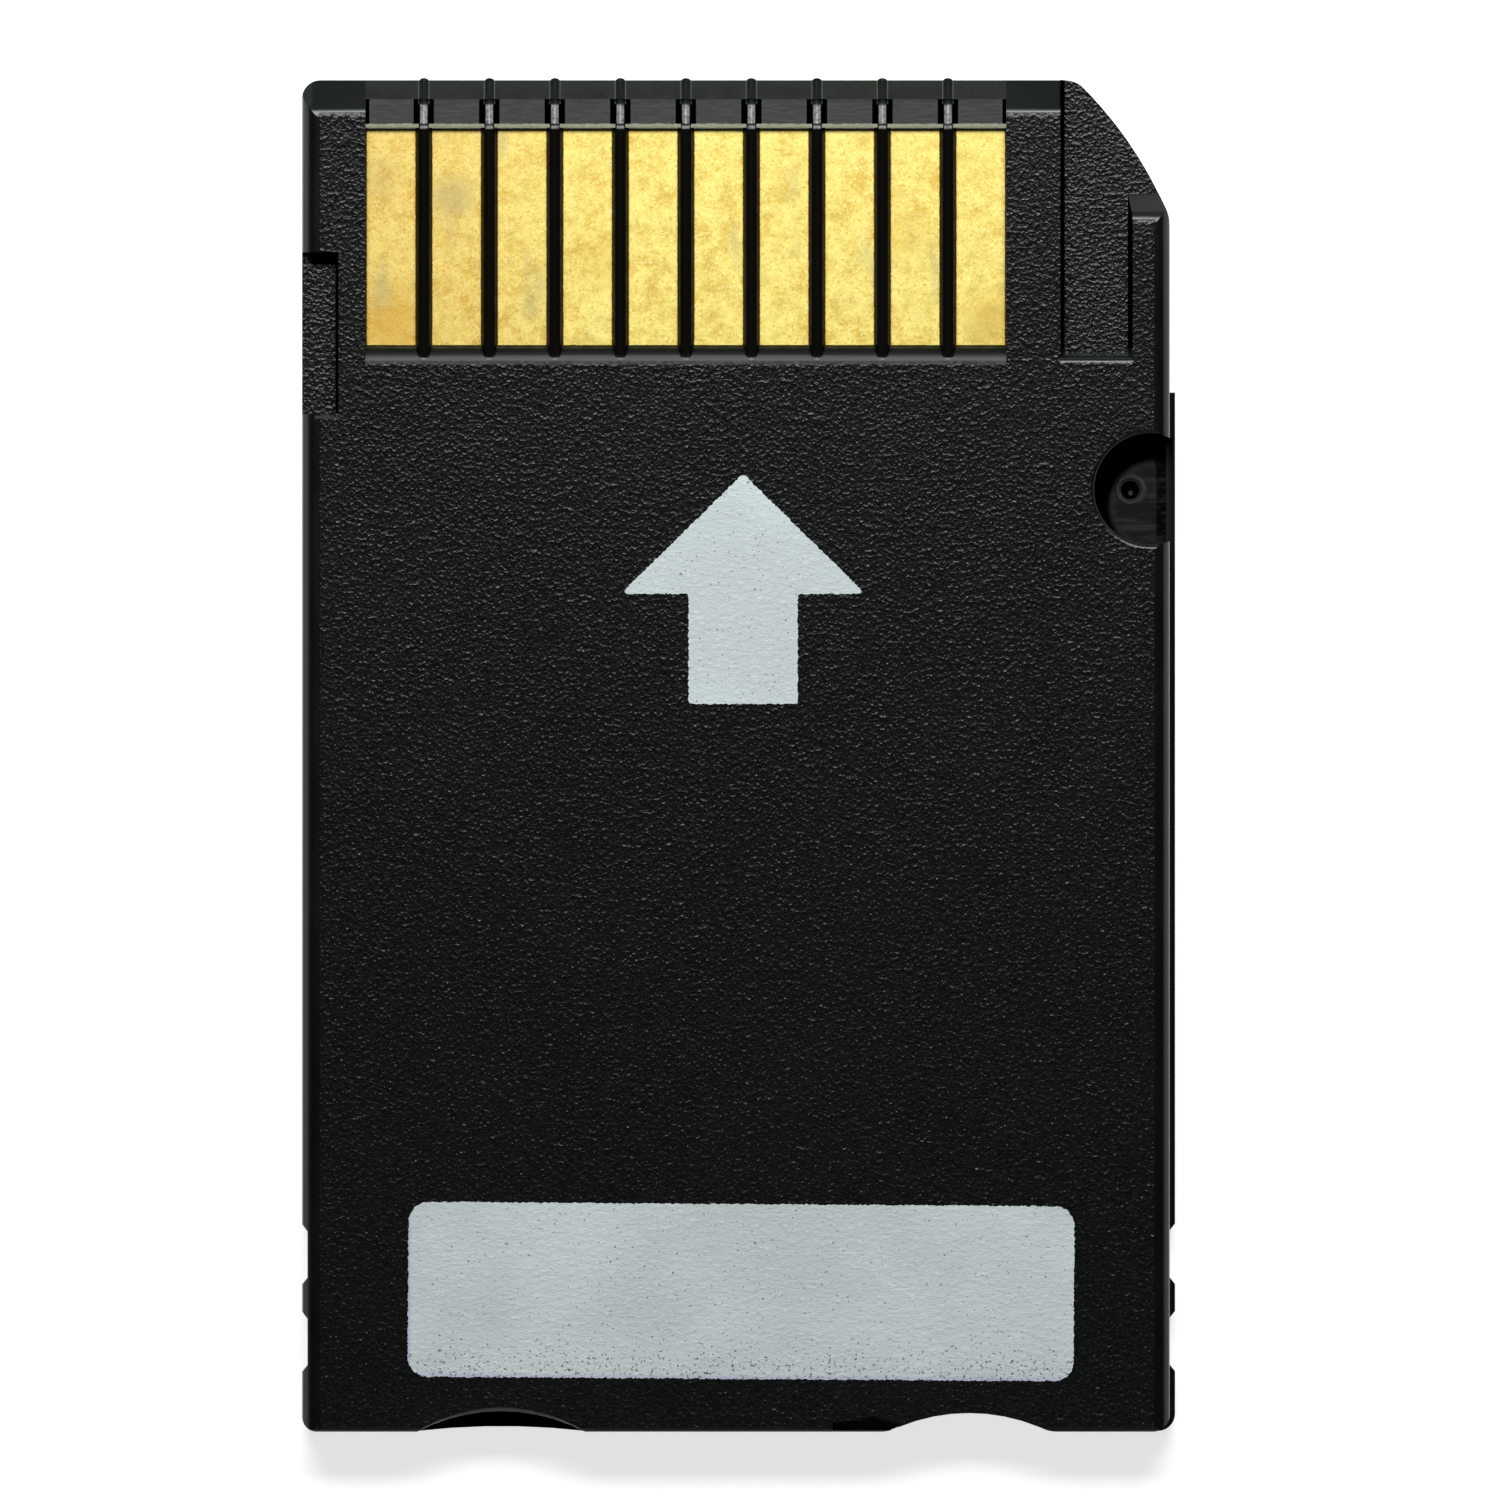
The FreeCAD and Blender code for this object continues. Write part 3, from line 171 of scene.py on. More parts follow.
# %% Floor
FLOOR_SIZE = 2.0
FLOOR_GLOW = 0.7
FLOOR_WHITE = 0.86
bpy.ops.mesh.primitive_plane_add(size=FLOOR_SIZE, location=(0, 0, 0))
floor = bpy.context.object
floor.name = "floor"
paper = bpy.data.materials.new("paper")
paper.use_nodes = True
tree = paper.node_tree
tree.nodes.remove(tree.nodes["Principled BSDF"])
matt = add_node(tree, "ShaderNodeBsdfDiffuse", {"Color": (FLOOR_WHITE, FLOOR_WHITE, FLOOR_WHITE, 1)})
glow_strength = calculate(tree, "MULTIPLY", seen(tree), FLOOR_GLOW)
glow = add_node(tree, "ShaderNodeEmission", {"Color": (1, 1, 1, 1), "Strength": glow_strength})
both = add_node(tree, "ShaderNodeAddShader", {0: matt.outputs[0], 1: glow.outputs[0]})
tree.links.new(both.outputs[0], tree.nodes["Material Output"].inputs["Surface"])
floor.data.materials.append(paper)
floor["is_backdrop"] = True
print(f"floor {FLOOR_SIZE} m wide")

# %% [markdown]
# Each finish below is a material with one main shader. Its patterns depend on the place on the card,
# which comes from the object's own coordinates, so a finish stays where it is when the card moves.

# %% Finishes and places
def new_finish(name, colour, roughness, metallic=0.0):
    """A material with one main shader, and that shader."""
    made = bpy.data.materials.new(name)
    made.use_nodes = True
    shader = made.node_tree.nodes["Principled BSDF"]
    shader.inputs["Base Color"].default_value = (*colour, 1)
    shader.inputs["Roughness"].default_value = roughness
    shader.inputs["Metallic"].default_value = metallic
    return made, made.node_tree, shader


def card_place(tree):
    """The place on the card, in metres, and its x, y and z."""
    place = add_node(tree, "ShaderNodeTexCoord").outputs["Object"]
    parts = add_node(tree, "ShaderNodeSeparateXYZ", {0: place})
    return place, parts.outputs[0], parts.outputs[1], parts.outputs[2]


print(f"{len(nodes)} nodes to finish")

# %% [markdown]
# Grain, scratches and clouds could come from pictures of such surfaces. Here they are generated from
# noise, so they have no seam and stay sharp close up. A noise varies smoothly, craters are round pits
# side by side, and a place that is scaled first stretches a pattern.

# %% Patterns
def noise(tree, place, grain_size, detail=2.0, roughness=0.5):
    """A noise between 0 and 1 whose lumps are about grain_size millimetres across."""
    inputs = {"Vector": place, "Scale": 1 / (grain_size * MM), "Detail": detail, "Roughness": roughness}
    return add_node(tree, "ShaderNodeTexNoise", inputs).outputs["Fac"]


def craters(tree, place, width):
    """A relief of overlapping round pits, each about width millimetres across, as sparks leave them."""
    inputs = {"Vector": place, "Scale": 1 / (width * MM)}
    distance = add_node(tree, "ShaderNodeTexVoronoi", inputs, feature="F1").outputs["Distance"]
    return calculate(tree, "POWER", distance, 2.0)


def stretched(tree, place, across, along):
    """The place with its x and y scaled, which stretches a pattern the other way."""
    return add_node(
        tree, "ShaderNodeVectorMath", {0: place, 1: (across, along, 1)}, operation="MULTIPLY"
    ).outputs[0]


print("patterns ready")

# %% [markdown]
# A mask is 1 where something applies and 0 elsewhere. A soft step turns a value into a mask, for example
# a place into "above this height", and several masks are multiplied into one that needs them all.

# %% Masks
def step(tree, value, low, high, start=0.0, end=1.0):
    """A smooth step from start to end as the value goes from low to high."""
    inputs = {"Value": value, "From Min": low, "From Max": high, "To Min": start, "To Max": end}
    return add_node(tree, "ShaderNodeMapRange", inputs, interpolation_type="SMOOTHSTEP").outputs[0]


def above(tree, value, limit, soft):
    """1 where the value lies above a limit in millimetres, with a soft edge."""
    return step(tree, value, (limit - soft) * MM, (limit + soft) * MM)


def below(tree, value, limit, soft):
    """1 where the value lies below a limit in millimetres, with a soft edge."""
    return step(tree, value, (limit - soft) * MM, (limit + soft) * MM, 1.0, 0.0)


def between(tree, value, low, high, soft):
    """1 where the value lies between low and high, in millimetres, with soft edges."""
    return calculate(tree, "MULTIPLY", above(tree, value, low, soft), below(tree, value, high, soft))


def all_of(tree, *masks):
    """1 only where every mask is 1."""
    both = masks[0]
    for mask in masks[1:]:
        both = calculate(tree, "MULTIPLY", both, mask)
    return both


def facing(tree, axis):
    """How far the surface faces along an axis, 0 for x, 1 for y, 2 for z."""
    normal = add_node(tree, "ShaderNodeNewGeometry").outputs["True Normal"]
    return add_node(tree, "ShaderNodeSeparateXYZ", {0: normal}).outputs[axis]


def levelness(tree):
    """1 where the surface is level, whether it faces up or down, and 0 where it is upright."""
    return calculate(tree, "ABSOLUTE", facing(tree, 2))


print("masks ready")

# %% [markdown]
# A mask then mixes two values or two colours. A bump turns heights of a few micrometres into a tilt of
# the surface. Real pits would need millions of faces, and the light can't tell the difference.

# %% Mixes and relief
def blended(tree, mask, first, second):
    """Two values mixed by a mask."""
    return add_node(tree, "ShaderNodeMix", {0: mask, 2: first, 3: second}).outputs[0]


def mix(tree, mask, first, second):
    """Two colours mixed by a mask."""
    def colour(value):
        return (*value, 1) if isinstance(value, tuple) else value
    inputs = {0: mask, 6: colour(first), 7: colour(second)}
    return add_node(tree, "ShaderNodeMix", data_type="RGBA", inputs=inputs).outputs[2]


def bumped(tree, height, depth):
    """The surface normal after a relief of the given depth, in micrometres."""
    inputs = {"Height": height, "Distance": depth * 1e-6, "Strength": 1.0}
    return add_node(tree, "ShaderNodeBump", inputs).outputs[0]


print("mixes ready")

# %% [markdown]
# Both shells are moulded from black plastic in a steel mould. The level faces of that mould were etched by
# sparks, which leaves a fine grain of tiny pits, and its slopes, edges and ribs were polished. The
# grain is made of pits of two sizes and a fine noise, as relief, and it is deeper on low floors.

# %% Relief of the grain
PIT_WIDTH = 0.095
SMALL_PIT_WIDTH = 0.055
SMALL_PIT_SHIFT = (7 * MM, 3 * MM, 0)
NOISE_SIZE = 0.055
FLOOR_LEVEL = (1.2, 1.3)
FLOOR_DEPTH = 1.3


def grain_relief(tree, place, z, fine):
    """Overlapping pits of two sizes and a fine noise, deeper on low floors."""
    shifted = add_node(
        tree, "ShaderNodeVectorMath", {0: place, 1: SMALL_PIT_SHIFT}, operation="ADD"
    ).outputs[0]
    small_pits = craters(tree, shifted, SMALL_PIT_WIDTH)
    relief = calculate(tree, "MULTIPLY_ADD", small_pits, 0.5, craters(tree, place, PIT_WIDTH))
    relief = calculate(tree, "MULTIPLY_ADD", fine, 0.6, relief)
    deeper = step(tree, z, FLOOR_LEVEL[0] * MM, FLOOR_LEVEL[1] * MM, FLOOR_DEPTH, 1.0)
    return calculate(tree, "MULTIPLY", relief, deeper)


print(f"pits {PIT_WIDTH} and {SMALL_PIT_WIDTH} mm wide")

# %% [markdown]
# Black plastic isn't one black. Dust greys it in blotches and the grain has faint streaks. Light is also
# painted in: pale tips of the grain are painted glints, slopes that face the contact end are painted a
# lighter teal as a painted reflection, and the rounded long edges are painted paler as a painted highlight.
# Such colours could be drawn into a picture, but masks by place and slope need no picture and are the same
# on every run.

# %% Colour of the plastic
BLACK = (0.0013, 0.0015, 0.0015)
POLISHED_BLACK = (0.0015, 0.0018, 0.0018)
FRONT_SLOPE_REFLECTION = (0.0050, 0.0088, 0.0082)
DUSTY_BLACK = (0.0036, 0.0042, 0.0042)
STREAK_BLACK = (0.0090, 0.0105, 0.0100)
LONG_EDGE_HIGHLIGHT = (0.026, 0.033, 0.025)
GLINT_TIP_GREY = (0.020, 0.021, 0.020)
LONG_EDGE = (9.72, 9.82)


def plastic_colour(tree, place, x, mask, fine, blotches):
    """Black with dusty blotches and streaks, a painted reflection on front-facing slopes, a painted
    highlight on the long edges, and painted glints on the grain's tips.
    """
    # Painted reflection: polished slopes that face the contact end are a lighter teal.
    bevel = step(tree, facing(tree, 1), 0.25, 0.45)
    colour = mix(tree, mask, mix(tree, bevel, POLISHED_BLACK, FRONT_SLOPE_REFLECTION), BLACK)
    colour = mix(tree, step(tree, blotches, 0.4, 0.8, 0.0, 0.5), colour, DUSTY_BLACK)
    streaks = noise(tree, stretched(tree, place, 0.55, 1.5), 0.06, 3.0, 0.7)
    streaked = calculate(tree, "MULTIPLY", mask, step(tree, streaks, 0.42, 0.68, 0.0, 0.75))
    colour = mix(tree, streaked, colour, STREAK_BLACK)
    # Painted highlight: the rounded long edges are paler.
    outermost = step(tree, calculate(tree, "ABSOLUTE", x), LONG_EDGE[0] * MM, LONG_EDGE[1] * MM)
    upward = facing(tree, 2)
    slanted = all_of(tree, step(tree, upward, 0.1, 0.4), step(tree, upward, 0.7, 0.95, 1.0, 0.0))
    colour = mix(tree, all_of(tree, outermost, slanted), colour, LONG_EDGE_HIGHLIGHT)
    # Painted glints on the tips of the grain.
    tips = calculate(tree, "MULTIPLY", mask, step(tree, fine, 0.62, 0.74, 0.0, 0.6))
    return mix(tree, tips, colour, GLINT_TIP_GREY)


print("plastic colours ready")

# %% [markdown]
# One function makes the plastic of both shells. It is given another function that says where the grain
# is, because each shell is etched on other faces. Steep walls get less shine than level faces, since they
# mirror the white floor beside the card.

# %% Moulded plastic
POLISHED_SHINE = 0.5
GRAIN_SHINE = 0.36
WALL_SHINE = 0.12


def moulded_plastic(name, grained, grain_depth):
    """Black plastic with spark-eroded grain where the function grained gives a mask of 1."""
    finish, tree, shader = new_finish(name, BLACK, 0.4)
    place, x, y, z = card_place(tree)
    mask = grained(tree, x, y, z)
    fine = noise(tree, place, NOISE_SIZE, 2.0, 0.6)
    blotches = noise(tree, place, 2.5, 3.0)
    tree.links.new(plastic_colour(tree, place, x, mask, fine, blotches), shader.inputs["Base Color"])
    grain_gloss = step(tree, fine, 0.35, 0.75, 0.28, 0.18)
    polish_gloss = step(tree, blotches, 0.3, 0.7, 0.2, 0.26)
    tree.links.new(blended(tree, mask, polish_gloss, grain_gloss), shader.inputs["Roughness"])
    steep = step(tree, levelness(tree), 0.6, 0.85, 1.0, 0.0)
    shine = blended(tree, steep, blended(tree, mask, POLISHED_SHINE, GRAIN_SHINE), WALL_SHINE)
    shader.inputs["Specular IOR Level"].default_value = GRAIN_SHINE
    tree.links.new(shine, shader.inputs["Specular IOR Level"])
    polished = calculate(tree, "MULTIPLY", noise(tree, place, 0.5, 3.0), 0.06)
    height = blended(tree, mask, polished, grain_relief(tree, place, z, fine))
    tree.links.new(bumped(tree, height, grain_depth), shader.inputs["Normal"])
    return finish


print(f"shine {POLISHED_SHINE} polished, {GRAIN_SHINE} grained, {WALL_SHINE} on walls")

# %% [markdown]
# On the back shell the face and the low floors are grained. The lip and the ribs lie between those two
# levels and are polished, and so are the strips beside the long edges. The grained faces could be
# picked one by one, but their height and slope tell them apart in a few lines.

# %% Plastic of the back shell
POLISHED_LEVELS = (1.3, 1.59)
GRAINED_WIDTH = (-9.6, 9.53)


def wear(node, finish):
    """Puts a finish on a node of the card, in place of the one it was packed with."""
    mesh = nodes[node].data
    mesh.materials.clear()
    mesh.materials.append(finish)


def grain_where_level(tree):
    """1 on level surfaces, 0 on slopes and walls."""
    return step(tree, levelness(tree), 0.94, 0.99)


def shell_grain(tree, x, y, z):
    """Grain on the level faces of the back shell, but not on the lip, the ribs and the long edges."""
    lowest, highest = POLISHED_LEVELS
    face = step(tree, z, (highest - 0.005) * MM, highest * MM)
    face = calculate(tree, "MULTIPLY", face, between(tree, x, *GRAINED_WIDTH, 0.03))
    floors = step(tree, z, lowest * MM, (lowest + 0.01) * MM, 1.0, 0.0)
    return calculate(tree, "MULTIPLY", grain_where_level(tree), calculate(tree, "ADD", face, floors))


shell_plastic = moulded_plastic("shell_plastic", shell_grain, 10.5)
wear("back_shell", shell_plastic)
print("back shell moulded")

# %% [markdown]
# Wear, dust and shade are laid over a finish that already has a colour and a gloss. Each could be a
# material of its own, but then its border would have to follow the edges of faces. An overlay mixes
# the new colour and gloss into the old ones by a mask instead, so its border can lie anywhere.

# %% Overlays
DEEP_SHADE = (0.0002, 0.0002, 0.0002)


def overlay(tree, shader, mask, colour, roughness):
    """Lays another colour and gloss over a finish where the mask is 1."""
    under = shader.inputs["Base Color"].links[0].from_socket
    tree.links.new(mix(tree, mask, under, colour), shader.inputs["Base Color"])
    gloss = shader.inputs["Roughness"].links[0].from_socket
    tree.links.new(blended(tree, mask, gloss, roughness), shader.inputs["Roughness"])


def darken(tree, shader, mask):
    """Takes the colour and the gloss away where the mask is 1, as deep shade does."""
    overlay(tree, shader, mask, DEEP_SHADE, 0.6)
    shine = shader.inputs["Specular IOR Level"].links[0].from_socket
    tree.links.new(blended(tree, mask, shine, 0.0), shader.inputs["Specular IOR Level"])


print("overlays ready")

# %% [markdown]
# Narrow corners get no light. So two corners of the ledge in the left side are painted black as shade, and
# so are the steep walls of the pocket and the inside of the finger scoop. The renderer finds some of that
# shade, but steps this shallow stay pale in it. Along the rims of the ledge and the scoop a paler line is
# painted as a highlight. A noise added to y makes the ledge's edges waver.

# %% Painted shade and highlighted rims
LEDGE = ((-9.8, 7.8), (-9.16, 11.5))
LEDGE_RIM_HIGHLIGHT = (0.035, 0.040, 0.036)
POCKET_SIDES = (7.2, 9.3)
POCKET_HEIGHTS = (1.11, 1.58)
SCOOP_SIDES = (-7.6, -3.3)
SCOOP_HEIGHTS = (0.7, 1.50)
SCOOP_RIM_TOP = 1.58
SCOOP_RIM_HIGHLIGHT = (0.035, 0.036, 0.045)


def shade_ledge(finish):
    """Painted shade in the corners of the ledge in the left side, and a painted highlight along its rear
    rim.
    """
    tree = finish.node_tree
    shader = tree.nodes["Principled BSDF"]
    place, x, y, z = card_place(tree)
    (left, rear), (right, front) = LEDGE
    waver = calculate(tree, "MULTIPLY_ADD", noise(tree, place, 0.3, 3.0), 0.12 * MM, y)
    low = between(tree, z, 0.9, 1.3, 0.01)
    near_front = between(tree, waver, front - 0.22, front + 0.1, 0.03)
    front_corner = all_of(tree, low, near_front, between(tree, x, left, right, 0.02))
    near_side = between(tree, x, right - 0.08, right, 0.025)
    side_corner = all_of(tree, low, near_side, between(tree, y, rear, front, 0.02))
    # Painted shade in the two corners of the ledge.
    darken(tree, shader, calculate(tree, "MAXIMUM", front_corner, side_corner))
    near_rear = between(tree, waver, rear - 0.06, rear + 0.01, 0.025)
    rim = all_of(tree, near_rear, between(tree, x, left + 0.1, right, 0.04))
    # Painted highlight along the ledge's rear rim.
    overlay(tree, shader, rim, LEDGE_RIM_HIGHLIGHT, 0.35)


def shade_pocket(finish):
    """Painted shade: the steep walls of the pocket beside the keyed corner are black."""
    tree = finish.node_tree
    _, x, y, z = card_place(tree)
    steep = step(tree, facing(tree, 2), 0.3, 0.5, 1.0, 0.0)
    inside = all_of(tree, between(tree, x, *POCKET_SIDES, 0.01), between(tree, z, *POCKET_HEIGHTS, 0.01))
    walls = all_of(tree, steep, inside, above(tree, y, 9.3, 0.05))
    # Painted shade on the pocket's walls.
    darken(tree, tree.nodes["Principled BSDF"], walls)


def shade_scoop(finish):
    """Painted shade inside the finger scoop, and a painted highlight along its rim."""
    tree = finish.node_tree
    shader = tree.nodes["Principled BSDF"]
    _, x, y, z = card_place(tree)
    to_rear = step(tree, facing(tree, 1), -0.5, -0.3, 1.0, 0.0)
    scoop = all_of(tree, to_rear, between(tree, x, *SCOOP_SIDES, 0.05), below(tree, y, -14.7, 0.02))
    # Painted shade inside the scoop.
    darken(tree, shader, all_of(tree, scoop, between(tree, z, *SCOOP_HEIGHTS, 0.02)))
    rim = all_of(tree, scoop, between(tree, z, SCOOP_HEIGHTS[1], SCOOP_RIM_TOP, 0.02))
    # Painted highlight along the scoop's rim.
    overlay(tree, shader, rim, SCOOP_RIM_HIGHLIGHT, 0.4)


shade_ledge(shell_plastic)
shade_pocket(shell_plastic)
shade_scoop(shell_plastic)
print("ledge, pocket and scoop shaded")

# %% [markdown]
# In the lock notch the inner face of the other shell shows. The notch is deep and narrow, so most of its
# floor is painted black as shade. Only the part farthest from the wall gets light, and there a few moulding
# lines show and a small raised ring, painted lighter as a highlight, round a hole painted as shade, with a
# painted glint. Discs and rings come from the distance to a point.

# %% Plastic of the cover and floor of the lock notch
NOTCH_MIDDLE = (9.42, 6.07)
NOTCH_LIT = (9.53, 5.69)
LIT_REACH = 1.05
RING_MIDDLE = (8.97, 6.07)
GLINT_MIDDLE = (8.98, 6.0)
NOTCH_BLACK = (0.0030, 0.0036, 0.0040)
NOTCH_LINE = (0.019, 0.021, 0.023)
RING_HIGHLIGHT_GREY = (0.022, 0.024, 0.025)
GLINT_GREY = (0.050, 0.055, 0.055)


def cover_grain(tree, x, y, z):
    """Grain on the level faces of the label side. The flange and the lock notch's floor are smooth."""
    return calculate(tree, "MULTIPLY", grain_where_level(tree), below(tree, z, 0.5, 0.01))


def distance_to(tree, x, y, across, along):
    """The distance of a place from a point given in millimetres."""
    side = calculate(tree, "SUBTRACT", x, across * MM)
    ahead = calculate(tree, "SUBTRACT", y, along * MM)
    squares = calculate(tree, "MULTIPLY_ADD", side, side, calculate(tree, "MULTIPLY", ahead, ahead))
    return calculate(tree, "SQRT", squares)


def light_notch(finish):
    """Moulding lines on the notch's floor, a ring painted lighter as a highlight, its hole painted as
    shade, a painted glint, and painted shade round the lit part.
    """
    tree = finish.node_tree
    shader = tree.nodes["Principled BSDF"]
    place, x, y, z = card_place(tree)
    near_side = all_of(tree, between(tree, x, 8.0, 9.8, 0.01), above(tree, z, 0.5, 0.01))
    in_notch = all_of(tree, near_side, below(tree, distance_to(tree, x, y, *NOTCH_MIDDLE), 1.5, 0.01))
    lines = noise(tree, stretched(tree, place, 0.25, 2.5), 0.3, 3.0, 0.6)
    lined = mix(tree, step(tree, lines, 0.45, 0.65), NOTCH_BLACK, NOTCH_LINE)
    overlay(tree, shader, in_notch, lined, 0.25)
    to_ring = distance_to(tree, x, y, *RING_MIDDLE)
    # Painted shade in the ring's hole.
    darken(tree, shader, all_of(tree, in_notch, below(tree, to_ring, 0.22, 0.02)))
    # Painted highlight on the ring.
    ring = all_of(tree, in_notch, between(tree, to_ring, 0.24, 0.37, 0.02))
    overlay(tree, shader, ring, RING_HIGHLIGHT_GREY, 0.3)
    glint = below(tree, distance_to(tree, x, y, *GLINT_MIDDLE), 0.05, 0.02)
    overlay(tree, shader, all_of(tree, in_notch, glint), GLINT_GREY, 0.5)
    # Painted shade over the floor outside the lit part.
    from_lit = distance_to(tree, x, y, *NOTCH_LIT)
    shade = step(tree, from_lit, (LIT_REACH - 0.22) * MM, (LIT_REACH + 0.07) * MM)
    darken(tree, shader, all_of(tree, in_notch, shade))


cover_plastic = moulded_plastic("cover_plastic", cover_grain, 9.0)
light_notch(cover_plastic)
wear("top_cover", cover_plastic)
print("cover moulded, notch floor lit")

# %% [markdown]
# The reader's springs slide over the lip and between the ribs each time the card goes in, so this end is
# worn. The places of that wear, and of the shade and highlights painted at this end, come from the boxes
# of the contacts, because a rib stands midway between two of them. Folding x about the ribs, back and
# forth, makes one rib stand for all nine.

# %% Places of the ribs
first_contact, last_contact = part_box("contact_01"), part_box("contact_10")
ROW_MIDDLE = (first_contact[0].x + last_contact[1].x) / 2 / MM
ROW_HALF = (last_contact[1].x - first_contact[0].x) / 2 / MM
ROW_REAR, ROW_FRONT = first_contact[0].y / MM, first_contact[1].y / MM
PITCH = (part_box("contact_02")[0].x - first_contact[0].x) / MM
BEVEL_FOOT = 15.0
RIDGE = 9.05


def from_row_middle(tree, x):
    """How far across the card a place is from the middle of the contact row."""
    return calculate(tree, "SUBTRACT", x, ROW_MIDDLE * MM)


def from_nearest_rib(tree, x):
    """How far across the card a place is from the middle of the nearest rib."""
    return calculate(tree, "PINGPONG", from_row_middle(tree, x), PITCH / 2 * MM)


def in_contact_row(tree, x):
    """1 between the outer sides of the first and the last contact."""
    return below(tree, calculate(tree, "ABSOLUTE", from_row_middle(tree, x)), ROW_HALF + 0.02, 0.005)


def fine_flecks(tree, place):
    """A fine noise that breaks up worn patches and patches of painted light."""
    return noise(tree, place, 0.07, 3.0, 0.8)


print(f"ribs every {PITCH:.2f} mm from {ROW_MIDDLE:.2f}")

# %% [markdown]
# In front of the ribs the bevel is painted a clouded teal as a painted reflection, and the slots beside
# them are painted black as shade. Behind them the rear wall of the window is painted as light falls on it:
# a dark olive foot and a black slope as painted shade, rising to a paler ridge as a painted highlight.

# %% Bevel, slots and rear wall
BEVEL_DARK = (0.0040, 0.0072, 0.0062)
BEVEL_PALE = (0.013, 0.017, 0.015)
BEVEL_GREEN = (0.010, 0.019, 0.010)
BEVEL_FLECK = (0.03, 0.03, 0.03)
RIDGE_HIGHLIGHT_GREY = (0.017, 0.018, 0.016)
SLOPE_SHADE_BLACK = (0.001, 0.001, 0.001)
SLOPE_CLOUD = (0.006, 0.007, 0.007)
FOOT_SHADE_OLIVE = (0.012, 0.012, 0.002)


def tint_bevel_and_shade_slots(finish):
    """The bevel in front of the contact row is painted a clouded teal as a reflection, and the slots in the
    lip are painted black as shade.
    """
    tree = finish.node_tree
    shader = tree.nodes["Principled BSDF"]
    place, x, y, z = card_place(tree)
    in_row = in_contact_row(tree, x)
    clouds = noise(tree, place, 0.5, 4.0, 0.6)
    # Painted reflection on the bevel: clouded teal, greener near the front edge, with pale flecks.
    dull = mix(tree, step(tree, clouds, 0.3, 0.7), BEVEL_DARK, BEVEL_PALE)
    dull = mix(tree, step(tree, y, 15.22 * MM, 15.38 * MM, 0.0, 0.8), dull, BEVEL_GREEN)
    dull = mix(tree, step(tree, fine_flecks(tree, place), 0.4, 0.7, 0.0, 0.3), dull, BEVEL_FLECK)
    overlay(tree, shader, all_of(tree, in_row, above(tree, y, BEVEL_FOOT, 0.02)), dull, 0.3)
    # Painted shade in the slots of the lip.
    in_lip = all_of(tree, in_row, between(tree, y, ROW_FRONT + 0.1, BEVEL_FOOT, 0.01))
    darken(tree, shader, all_of(tree, in_lip, between(tree, z, 1.2, 1.35, 0.01)))


def shade_and_highlight_rear_wall(finish):
    """Painted shade and highlight: the rear wall of the window is black up to a paler ridge, with a dark
    olive foot.
    """
    tree = finish.node_tree
    shader = tree.nodes["Principled BSDF"]
    place, x, y, _ = card_place(tree)
    in_row = in_contact_row(tree, x)
    clouds = noise(tree, place, 0.5, 4.0, 0.6)
    # Painted shade on the slope, rising to a painted highlight on the ridge.
    wall = mix(tree, step(tree, y, RIDGE * MM, (ROW_REAR - 0.16) * MM), RIDGE_HIGHLIGHT_GREY, SLOPE_SHADE_BLACK)
    wall = mix(tree, step(tree, clouds, 0.35, 0.75, 0.0, 0.6), wall, SLOPE_CLOUD)
    gloss = step(tree, y, RIDGE * MM, (ROW_REAR - 0.1) * MM, 0.52, 0.22)
    slope = between(tree, y, RIDGE - 0.12, ROW_REAR - 0.02, 0.02)
    overlay(tree, shader, all_of(tree, in_row, slope), wall, gloss)
    # Painted shade at the foot of the wall, tinted olive.
    foot = between(tree, y, ROW_REAR - 0.09, ROW_REAR - 0.01, 0.02)
    overlay(tree, shader, all_of(tree, in_row, foot), FOOT_SHADE_OLIVE, 0.2)


tint_bevel_and_shade_slots(shell_plastic)
shade_and_highlight_rear_wall(shell_plastic)
print(f"bevel from {BEVEL_FOOT}, ridge at {RIDGE} mm")

# %% [markdown]
# The lip is scratched across its slope, and a pale line with burrs is painted along its rounded edge. The
# construction never changes here, so instead of a flatter edge its normal is turned up towards the light.

# %% Scratches and a pale edge on the lip
LIP_BLACK = (0.003, 0.003, 0.004)
LIP_SCUFFED = (0.031, 0.030, 0.033)
LIP_EDGE = (0.13, 0.13, 0.09)
LIP_EDGE_PALE = (0.52, 0.52, 0.36)


def flatten(tree, shader, mask):
    """Turns the surface up where the mask is 1."""
    relief = shader.inputs["Normal"].links[0].from_socket
    inputs = {0: mask, 4: relief, 5: (0, 0, 1)}
    level = add_node(tree, "ShaderNodeMix", data_type="VECTOR", inputs=inputs)
    tree.links.new(level.outputs[1], shader.inputs["Normal"])


